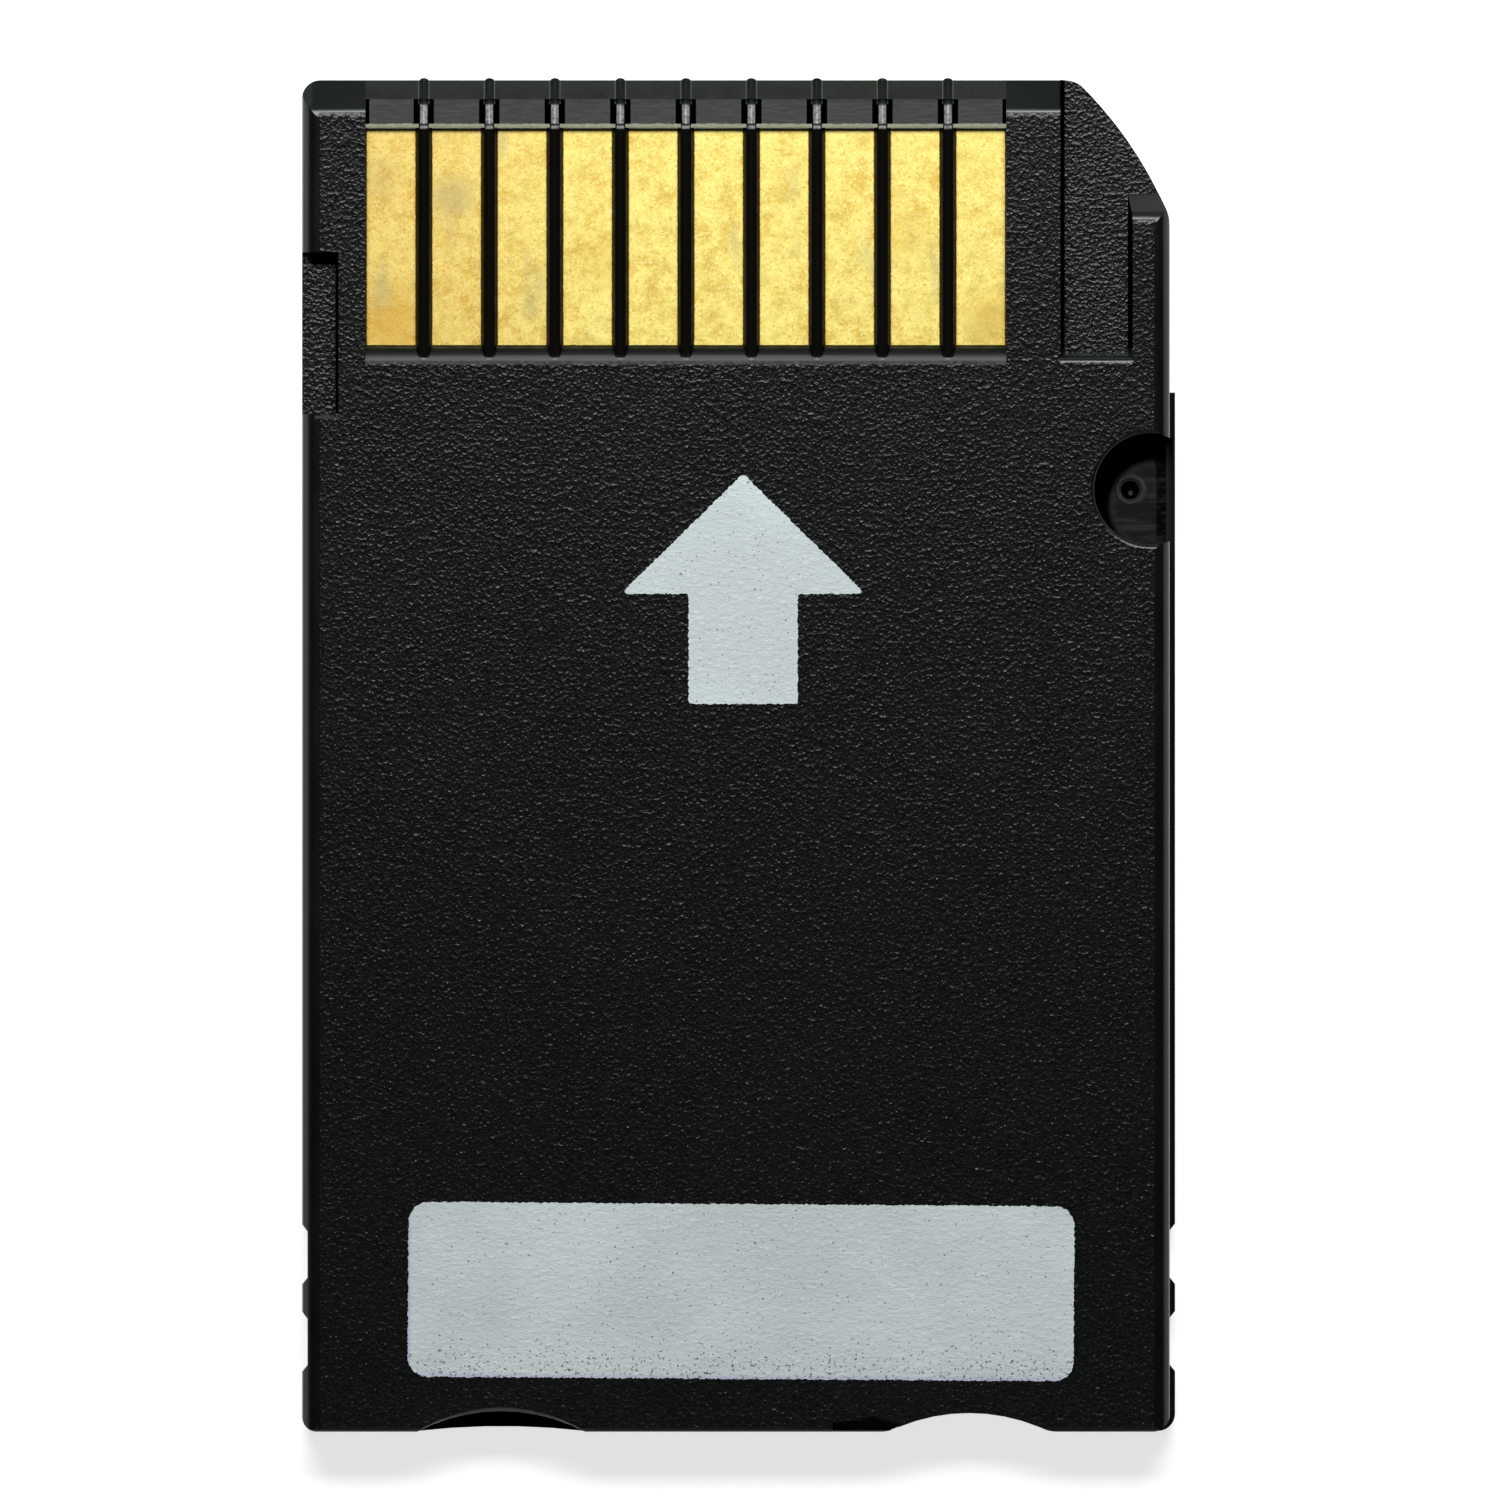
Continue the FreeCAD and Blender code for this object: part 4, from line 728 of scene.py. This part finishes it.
def scratch_lip_and_pale_edge(finish):
    """Scratches on the lip, and a pale flattened line along its edge."""
    tree = finish.node_tree
    shader = tree.nodes["Principled BSDF"]
    place, x, y, z = card_place(tree)
    in_lip = between(tree, y, ROW_FRONT, BEVEL_FOOT, 0.02)
    lip = all_of(tree, in_lip, in_contact_row(tree, x), above(tree, z, 1.37, 0.01))
    scratches = noise(tree, stretched(tree, place, 0.22, 2.2), 0.1, 4.0, 0.7)
    scuffed = mix(tree, step(tree, scratches, 0.3, 0.7), LIP_BLACK, LIP_SCUFFED)
    overlay(tree, shader, lip, scuffed, 0.65)
    # A pale line with burrs is painted along the rounded edge.
    burrs = calculate(tree, "MULTIPLY_ADD", noise(tree, place, 0.2, 4.0, 0.7), -0.08 * MM, y)
    edge = all_of(tree, lip, below(tree, burrs, ROW_FRONT + 0.1, 0.02))
    pale = mix(tree, fine_flecks(tree, place), LIP_EDGE, LIP_EDGE_PALE)
    overlay(tree, shader, edge, pale, 0.4)
    flatten(tree, shader, calculate(tree, "MULTIPLY", edge, 0.8))


scratch_lip_and_pale_edge(shell_plastic)
print("lip worn")

# %% [markdown]
# The ribs are polished black. Between the contacts they are wide, with a round rear end, and over the lip
# they are slim. There their tops are painted nearly white, for the rubbing of the springs and as a painted
# highlight on the ramps. On the bevel each rib ends in a nose with a thin pale line down both its sides,
# a painted highlight.

# %% Wear and painted highlights on the ribs
RIB_BLACK = (0.0016, 0.0014, 0.0010)
NOSE_BLACK = (0.0040, 0.0066, 0.0062)
NOSE_HIGHLIGHT_LINE = (0.060, 0.075, 0.070)
RUB_AND_HIGHLIGHT_DARK = (0.06, 0.06, 0.06)
RUB_AND_HIGHLIGHT_PALE = (0.36, 0.36, 0.355)
NOSE_START = BEVEL_FOOT - 0.1


def rib_mask(tree, to_rib, y):
    """1 on a rib between its round rear end and the start of its nose."""
    beside_contacts = between(tree, y, ROW_REAR - 0.17, ROW_FRONT + 0.05, 0.01)
    straight = all_of(tree, below(tree, to_rib, 0.19, 0.01), beside_contacts)
    round_end = below(tree, distance_to(tree, to_rib, y, 0, ROW_REAR - 0.18), 0.15, 0.01)
    wide = calculate(tree, "MAXIMUM", straight, round_end)
    over_lip = between(tree, y, ROW_FRONT, NOSE_START, 0.03)
    return calculate(tree, "MAXIMUM", wide, all_of(tree, below(tree, to_rib, 0.115, 0.01), over_lip))


def wear_and_highlight_ribs(finish):
    """Black ribs with noses on the bevel, painted highlight lines down the noses, and tops over the lip
    painted pale for rubbing and as a highlight.
    """
    tree = finish.node_tree
    shader = tree.nodes["Principled BSDF"]
    place, x, y, z = card_place(tree)
    in_row = in_contact_row(tree, x)
    to_rib = from_nearest_rib(tree, x)
    rib = all_of(tree, rib_mask(tree, to_rib, y), in_row)
    overlay(tree, shader, all_of(tree, rib, above(tree, z, 1.0, 0.02)), RIB_BLACK, 0.16)
    nose = all_of(tree, below(tree, to_rib, 0.115, 0.01), above(tree, y, NOSE_START, 0.03))
    overlay(tree, shader, all_of(tree, nose, in_row), NOSE_BLACK, 0.25)
    # Painted highlight: a thin pale line down both sides of each nose.
    outline = all_of(tree, between(tree, to_rib, 0.105, 0.13, 0.008), above(tree, y, NOSE_START, 0.02))
    overlay(tree, shader, all_of(tree, outline, in_row), NOSE_HIGHLIGHT_LINE, 0.3)
    on_edge = between(tree, y, ROW_FRONT + 0.03, ROW_FRONT + 0.1, 0.02)
    on_ramp = between(tree, y, ROW_FRONT + 0.15, ROW_FRONT + 0.58, 0.03)
    tops = all_of(tree, calculate(tree, "MAXIMUM", on_edge, on_ramp), below(tree, to_rib, 0.085, 0.015))
    # Rubbing and a painted highlight: the tops over the lip are painted pale.
    worn = mix(tree, step(tree, fine_flecks(tree, place), 0.3, 0.7), RUB_AND_HIGHLIGHT_DARK, RUB_AND_HIGHLIGHT_PALE)
    overlay(tree, shader, all_of(tree, rib, tops), worn, 0.38)


wear_and_highlight_ribs(shell_plastic)
print("ribs worn")

# %% [markdown]
# The contacts are copper on the board with a thin layer of hard gold. The gold isn't a mirror: it follows
# the weave of the board and the plating's grain, so it looks mottled, with fine sparkles and specks. A
# plain metal would look like foil, so four golds are mixed by noises of different sizes.

# %% Mottled gold
GOLD = (0.78, 0.61, 0.14)
GOLD_ORANGE = (0.70, 0.45, 0.06)
GOLD_PALE = (0.93, 0.81, 0.25)
GOLD_SPARKLE = (0.99, 0.94, 0.45)


def mottled_gold(tree, place, clouds, mottle, grain):
    """Gold that is more orange in clouds, pale in spots, and full of fine sparkles and specks."""
    colour = mix(tree, step(tree, clouds, 0.38, 0.68, 0.0, 0.8), GOLD, GOLD_ORANGE)
    colour = mix(tree, step(tree, mottle, 0.33, 0.63, 0.0, 0.9), colour, GOLD_PALE)
    colour = mix(tree, step(tree, grain, 0.48, 0.66, 0.0, 0.6), colour, GOLD_SPARKLE)
    specks = step(tree, noise(tree, place, 0.075, 3.0, 0.7), 0.34, 0.46, 0.75, 0.0)
    return mix(tree, specks, colour, GOLD_ORANGE)


print(f"gold from {GOLD_ORANGE} to {GOLD_SPARKLE}")

# %% [markdown]
# Where a reader's springs have wiped it, the gold is duller and greyer. A few such patches have their
# own place, and others are smears along the card, as the springs slide. The contacts on the left mirror
# something darker and warmer, so they are painted darker and warmer as a painted reflection, and every
# contact has a thin dark orange rim along its long sides.

# %% Worn gold
GOLD_WORN = (0.50, 0.46, 0.22)
GOLD_RIM = (0.22, 0.085, 0.006)
LEFT_SHADE = 0.82
LEFT_TINT = (0.42, 0.02, 0.0)
# Where the plating is duller or more orange: place in millimetres, reach, and how much.
DULL_PATCHES = ((-6.55, 12.75, 0.7, 0.6), (5.65, 9.75, 0.6, 0.35), (-8.2, 13.2, 0.7, 0.3))
ORANGE_PATCHES = (
    (-8.0, 9.9, 1.1, 0.6), (5.8, 9.9, 0.9, 0.55), (3.9, 12.0, 0.8, 0.3), (-3.2, 11.4, 0.9, 0.3),
)
CONTACT_HALF = (first_contact[1].x - first_contact[0].x) / 2 / MM


def patch(tree, x, y, across, along, reach, waver):
    """A soft patch about a place, with an edge that wavers."""
    distance = distance_to(tree, x, y, across, along)
    distance = calculate(tree, "MULTIPLY_ADD", waver, 0.8 * reach * MM, distance)
    return step(tree, distance, 0.5 * reach * MM, 1.5 * reach * MM, 1.0, 0.0)


def worn_gold(tree, place, x, y, clouds, colour):
    """The colour with its patches, with the left side painted darker and warmer as a reflection, and with
    smears along the card.
    """
    for patches, tint in ((DULL_PATCHES, GOLD_WORN), (ORANGE_PATCHES, GOLD_ORANGE)):
        for across, along, reach, amount in patches:
            spot = patch(tree, x, y, across, along, reach, clouds)
            colour = mix(tree, calculate(tree, "MULTIPLY", spot, amount), colour, tint)
    # Painted reflection: the contacts on the left are darker and warmer.
    colour = mix(tree, step(tree, x, -7.5 * MM, -2.5 * MM, LEFT_SHADE, 1.0), LEFT_TINT, colour)
    smear = noise(tree, stretched(tree, place, 1.2, 0.35), 1.1, 2.0)
    return mix(tree, step(tree, smear, 0.60, 0.78, 0.0, 0.6), colour, GOLD_WORN)


def contact_rim(tree, place, x):
    """1 on the ragged rim along the long sides of each contact."""
    ragged_x = calculate(
        tree, "MULTIPLY_ADD", noise(tree, place, 0.12, 3.0), 0.03 * MM, from_nearest_rib(tree, x)
    )
    side = PITCH / 2 - CONTACT_HALF + 0.015
    return step(tree, ragged_x, side * MM, (side + 0.025) * MM, 1.0, 0.0)


def contact_gold():
    finish, tree, shader = new_finish("contact_gold", GOLD, 0.5, 1.0)
    place, x, y, _ = card_place(tree)
    mottle = noise(tree, place, 0.42, 6.0, 0.72)
    clouds = noise(tree, stretched(tree, place, 1.4, 0.6), 1.6, 3.0)
    grain = noise(tree, place, 0.06, 3.0, 0.8)
    colour = mottled_gold(tree, place, clouds, mottle, grain)
    colour = worn_gold(tree, place, x, y, clouds, colour)
    colour = mix(tree, contact_rim(tree, place, x), colour, GOLD_RIM)
    tree.links.new(colour, shader.inputs["Base Color"])
    tree.links.new(step(tree, mottle, 0.3, 0.7, 0.46, 0.6), shader.inputs["Roughness"])
    relief = calculate(tree, "MULTIPLY_ADD", grain, 0.6, mottle)
    tree.links.new(bumped(tree, relief, 4.0), shader.inputs["Normal"])
    return finish


gold = contact_gold()
contacts = sorted(name for name in nodes if name.startswith("contact_"))
for name in contacts:
    wear(name, gold)
print(f"{len(contacts)} gold contacts")

# %% [markdown]
# The board shows only as a dark olive strip behind the contacts. It is glass cloth in resin under a
# green-black lacquer, and the weave of the cloth shows faintly through it. Woven threads would be lost
# at this size, so two sine waves multiplied make that weave.

# %% Circuit board
CLOTH_PITCH = 0.45
BOARD_OLIVE = (0.02, 0.02, 0.004)
BOARD_DARK = (0.017, 0.018, 0.003)
BOARD_PALE = (0.034, 0.033, 0.006)
BOARD_CLOUD = (0.05, 0.04, 0.01)
BOARD_SHINE = 0.25


def board_laminate():
    finish, tree, shader = new_finish("board_laminate", BOARD_OLIVE, 0.35)
    shader.inputs["Specular IOR Level"].default_value = BOARD_SHINE
    place, x, y, _ = card_place(tree)
    waves = [
        calculate(tree, "SINE", calculate(tree, "MULTIPLY", axis, 2 * math.pi / (CLOTH_PITCH * MM)))
        for axis in (x, y)
    ]
    weave = calculate(tree, "MULTIPLY_ADD", calculate(tree, "MULTIPLY", *waves), 0.5, 0.5)
    clouds = noise(tree, place, 0.8, 3.0)
    colour = mix(tree, weave, BOARD_DARK, BOARD_PALE)
    colour = mix(tree, step(tree, clouds, 0.45, 0.75, 0.0, 0.5), colour, BOARD_CLOUD)
    tree.links.new(colour, shader.inputs["Base Color"])
    tree.links.new(step(tree, clouds, 0.3, 0.7, 0.28, 0.42), shader.inputs["Roughness"])
    tree.links.new(bumped(tree, weave, 4.0), shader.inputs["Normal"])
    return finish


wear("circuit_board", board_laminate())
print(f"board with cloth every {CLOTH_PITCH} mm")

# %% [markdown]
# Inside, the chips are moulded in black epoxy full of glass powder, which gives them a fine matt
# speckle. Their leads are copper with a dull coat of tin. None of this shows in the photograph, but a
# reader who takes the card apart meets it.

# %% Chips and leads
CHIP_RESIN = (0.012, 0.012, 0.013)
CHIP_BLACK = (0.010, 0.010, 0.011)
CHIP_SPECKLE = (0.032, 0.032, 0.034)
TIN = (0.62, 0.62, 0.60)
TIN_DARK = (0.50, 0.50, 0.49)
TIN_PALE = (0.72, 0.71, 0.68)


def chip_resin():
    finish, tree, shader = new_finish("chip_resin", CHIP_RESIN, 0.55)
    place, *_ = card_place(tree)
    speckle = noise(tree, place, 0.04, 2.0, 0.7)
    flow = noise(tree, stretched(tree, place, 0.5, 1.6), 1.8, 3.0)
    colour = mix(tree, step(tree, speckle, 0.55, 0.75), CHIP_BLACK, CHIP_SPECKLE)
    tree.links.new(colour, shader.inputs["Base Color"])
    tree.links.new(step(tree, flow, 0.3, 0.7, 0.48, 0.62), shader.inputs["Roughness"])
    tree.links.new(bumped(tree, speckle, 5.0), shader.inputs["Normal"])
    return finish


def tinned_metal():
    finish, tree, shader = new_finish("tinned_lead", TIN, 0.35, 1.0)
    place, *_ = card_place(tree)
    crystals = noise(tree, place, 0.07, 3.0, 0.6)
    tree.links.new(mix(tree, crystals, TIN_DARK, TIN_PALE), shader.inputs["Base Color"])
    tree.links.new(step(tree, crystals, 0.3, 0.7, 0.25, 0.45), shader.inputs["Roughness"])
    tree.links.new(bumped(tree, crystals, 3.0), shader.inputs["Normal"])
    return finish


for name in ("flash_memory_chip", "controller_chip"):
    wear(name, chip_resin())
wear("flash_memory_leads", tinned_metal())
print("chips and leads finished")

# %% [markdown]
# A capacitor, a resistor and a fuse have the same build: a ceramic body with a tinned cap at each end.
# One function makes them all. It reads from the piece's own box which way the part lies and where its
# caps end, so the same finish fits every one of them.

# %% Small parts
CAP_LENGTH = 0.2 * MM
CAP_SOFTNESS = 0.005 * MM
BODY_COLOURS = {
    "capacitor": (0.42, 0.27, 0.14),
    "resistor": (0.02, 0.02, 0.022),
    "fuse": (0.10, 0.22, 0.12),
}


def small_part_finish(node, body_colour):
    low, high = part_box(node)
    long_way = 0 if high.x - low.x > high.y - low.y else 1
    finish, tree, shader = new_finish(f"{node}_finish", body_colour, 0.4)
    place, *parts = card_place(tree)
    middle = (low[long_way] + high[long_way]) / 2
    cap_start = (high[long_way] - low[long_way]) / 2 - CAP_LENGTH
    from_middle = calculate(tree, "ABSOLUTE", calculate(tree, "SUBTRACT", parts[long_way], middle))
    cap = step(tree, from_middle, cap_start - CAP_SOFTNESS, cap_start + CAP_SOFTNESS)
    speckle = noise(tree, place, 0.05, 3.0)
    ceramic = mix(tree, speckle, tuple(0.75 * value for value in body_colour), body_colour)
    tin = mix(tree, speckle, TIN_DARK, TIN_PALE)
    tree.links.new(mix(tree, cap, ceramic, tin), shader.inputs["Base Color"])
    tree.links.new(cap, shader.inputs["Metallic"])
    tree.links.new(step(tree, speckle, 0.3, 0.7, 0.3, 0.45), shader.inputs["Roughness"])
    tree.links.new(bumped(tree, speckle, 3.0), shader.inputs["Normal"])
    return finish


small_parts = [name for name in sorted(nodes) if name.split("_")[0] in BODY_COLOURS]
for name in small_parts:
    wear(name, small_part_finish(name, BODY_COLOURS[name.split("_")[0]]))
print(f"{len(small_parts)} small parts finished")

# %% [markdown]
# The pale shapes on the card are ink, screen-printed on the grained plastic. Their outlines waver where
# the ink bled along the grain. So the points of an outline go round its straight sides and its rounded
# corners in small even steps, and each is moved by a little seeded chance.

# %% Outlines of printed shapes
RAGGED = 0.016 * MM
OUTLINE_STEP = 0.045 * MM
chance = random.Random(11)


def corner_arc(previous, corner, following, radius):
    """Points along the arc that rounds a corner off."""
    before = (previous - corner).normalized()
    after = (following - corner).normalized()
    half = before.angle(after) / 2
    centre = corner + (before + after).normalized() * (radius / math.sin(half))
    start = corner + before * (radius / math.tan(half)) - centre
    end = corner + after * (radius / math.tan(half)) - centre
    turn = start.angle(end)
    steps = max(2, round(turn * radius / OUTLINE_STEP))
    points = []
    for number in range(steps + 1):
        share = number / steps
        bend = (start * math.sin((1 - share) * turn) + end * math.sin(share * turn)) / math.sin(turn)
        points.append(centre + bend)
    return points


def rounded_outline(corners, radius):
    """Evenly stepped points round a shape with rounded corners, from its corner points."""
    points = []
    for index, corner in enumerate(corners):
        following = corners[(index + 1) % len(corners)]
        points += corner_arc(corners[index - 1], corner, following, radius)
    filled = []
    for index, point in enumerate(points):
        following = points[(index + 1) % len(points)]
        pieces = max(1, round((following - point).length / OUTLINE_STEP))
        filled += [point.lerp(following, number / pieces) for number in range(pieces)]
    return filled


def ragged(points):
    """The outline with each point moved out or in by a little chance."""
    moved = []
    for index, point in enumerate(points):
        along = (points[(index + 1) % len(points)] - points[index - 1]).normalized()
        outward = Vector((along.y, -along.x, 0))
        moved.append(point + outward * chance.uniform(-RAGGED, RAGGED))
    return moved


print(f"outline points every {OUTLINE_STEP / MM:.3f} mm")

# %% [markdown]
# A printed shape could be a colour in the plastic's material. But ink has a thickness and an edge that
# catches light, so it is a very thin solid. The pale field near the rear edge is for the owner to write
# on. It is printed a little askew, as it is in the photograph.

# %% Field to write on
INK_THICKNESS = 0.008 * MM
PANEL_MIDDLE = Vector((0.053, -12.286, 0)) * MM
PANEL_HALF = (7.62, 2.0)
PANEL_TURN = math.radians(-0.4)
PANEL_CORNER = 0.45 * MM


def print_film(name, outline, level):
    """A film of ink with the given outline, on a surface at the given level."""
    shape = bmesh.new()
    bottom = [shape.verts.new((point.x, point.y, level)) for point in outline]
    face = shape.faces.new(bottom)
    raised = bmesh.ops.extrude_face_region(shape, geom=[face])
    top = [item for item in raised["geom"] if isinstance(item, bmesh.types.BMVert)]
    bmesh.ops.translate(shape, vec=(0, 0, INK_THICKNESS), verts=top)
    bmesh.ops.recalc_face_normals(shape, faces=shape.faces)
    bmesh.ops.triangulate(shape, faces=shape.faces)
    mesh = bpy.data.meshes.new(name)
    shape.to_mesh(mesh)
    shape.free()
    film = bpy.data.objects.new(name, mesh)
    bpy.context.scene.collection.objects.link(film)
    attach(film, "root")
    return film


def turned_rectangle(middle, half, turn):
    """The four corners of a rectangle, anticlockwise, turned by a small angle."""
    along = Vector((math.cos(turn), math.sin(turn), 0)) * half[0] * MM
    up = Vector((-math.sin(turn), math.cos(turn), 0)) * half[1] * MM
    return [middle - along - up, middle + along - up, middle + along + up, middle - along + up]


panel_corners = turned_rectangle(PANEL_MIDDLE, PANEL_HALF, PANEL_TURN)
panel_outline = ragged(rounded_outline(panel_corners, PANEL_CORNER))
panel = print_film("write_on_panel", panel_outline, card_top)
print(f"field to write on, of {len(panel_outline)} points")

# %% [markdown]
# A plain block arrow in the same ink tells which end goes in first. It has a square shaft and a head, so
# it needs seven corners.

# %% Insertion arrow
ARROW_MIDDLE = 0.1
ARROW_FOOT = 1.16
ARROW_TIP = 6.43
ARROW_HEAD = 2.75
HEAD_HALF = 2.8
SHAFT_HALF = 1.25
ARROW_CORNER = 0.06 * MM


def arrow_corners():
    """The arrow's corners, anticlockwise, from the left foot of its shaft."""
    shoulder = ARROW_TIP - ARROW_HEAD
    places = (
        (-SHAFT_HALF, ARROW_FOOT), (SHAFT_HALF, ARROW_FOOT), (SHAFT_HALF, shoulder), (HEAD_HALF, shoulder),
        (0, ARROW_TIP), (-HEAD_HALF, shoulder), (-SHAFT_HALF, shoulder),
    )
    return [Vector((x + ARROW_MIDDLE, y, 0)) * MM for x, y in places]


arrow_outline = ragged(rounded_outline(arrow_corners(), ARROW_CORNER))
arrow = print_film("insertion_arrow", arrow_outline, card_top)
print(f"arrow of {len(arrow_outline)} points")

# %% [markdown]
# The ink is a pale blue grey. It is matt, it follows the grain below it a little, and it has pinholes
# where the grain was too deep for it, more of them near the rear edge of the field. Along that edge and
# the left one the film is thinner and bluer. The field is a little askew, so y is put right first.

# %% Ink
INK = (0.67, 0.76, 0.765)
INK_SHADE = (0.60, 0.68, 0.68)
INK_LIGHT = (0.80, 0.88, 0.88)
INK_EDGE = (0.50, 0.47, 0.72)
PINHOLE = (0.16, 0.19, 0.18)


def printed_ink():
    finish, tree, shader = new_finish("printed_ink", INK, 0.6)
    place, x, y, _ = card_place(tree)
    grain = noise(tree, stretched(tree, place, 0.7, 1.3), 0.12, 2.0, 0.6)
    clouds = noise(tree, place, 3.0, 3.0)
    colour = mix(tree, step(tree, clouds, 0.35, 0.65), INK, INK_SHADE)
    colour = mix(tree, step(tree, grain, 0.60, 0.72, 0.0, 0.6), colour, INK_LIGHT)
    across = calculate(tree, "SUBTRACT", x, PANEL_MIDDLE.x)
    along = calculate(tree, "MULTIPLY_ADD", across, -math.tan(PANEL_TURN), y)
    left_edge = -PANEL_HALF[0] * MM
    rear_edge = PANEL_MIDDLE.y - PANEL_HALF[1] * MM
    near_left = step(tree, across, left_edge + 0.01 * MM, left_edge + 0.09 * MM, 0.6, 0.0)
    near_rear = step(tree, along, rear_edge + 0.02 * MM, rear_edge + 0.12 * MM, 0.6, 0.0)
    colour = mix(tree, calculate(tree, "MAXIMUM", near_rear, near_left), colour, INK_EDGE)
    threshold = step(tree, along, rear_edge + 0.1 * MM, rear_edge + 1.2 * MM, 0.605, 0.675)
    pinholes = calculate(tree, "GREATER_THAN", noise(tree, place, 0.085, 2.0, 0.7), threshold)
    tree.links.new(mix(tree, pinholes, colour, PINHOLE), shader.inputs["Base Color"])
    tree.links.new(step(tree, grain, 0.3, 0.7, 0.65, 0.5), shader.inputs["Roughness"])
    tree.links.new(bumped(tree, grain, 22.0), shader.inputs["Normal"])
    return finish


ink = printed_ink()
for film in (panel, arrow):
    film.data.materials.append(ink)
print("ink dry")

# %% [markdown]
# Last, the box of the finished card is measured, and how far its top stands above the top of its
# construction is printed. The looks must not change the size.

# %% Size and finish
visual_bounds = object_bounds()
growth = visual_bounds[1][2] - cad_bounds[1][2]
print(f"the ink stands {growth / MM:.3f} mm above the plastic")
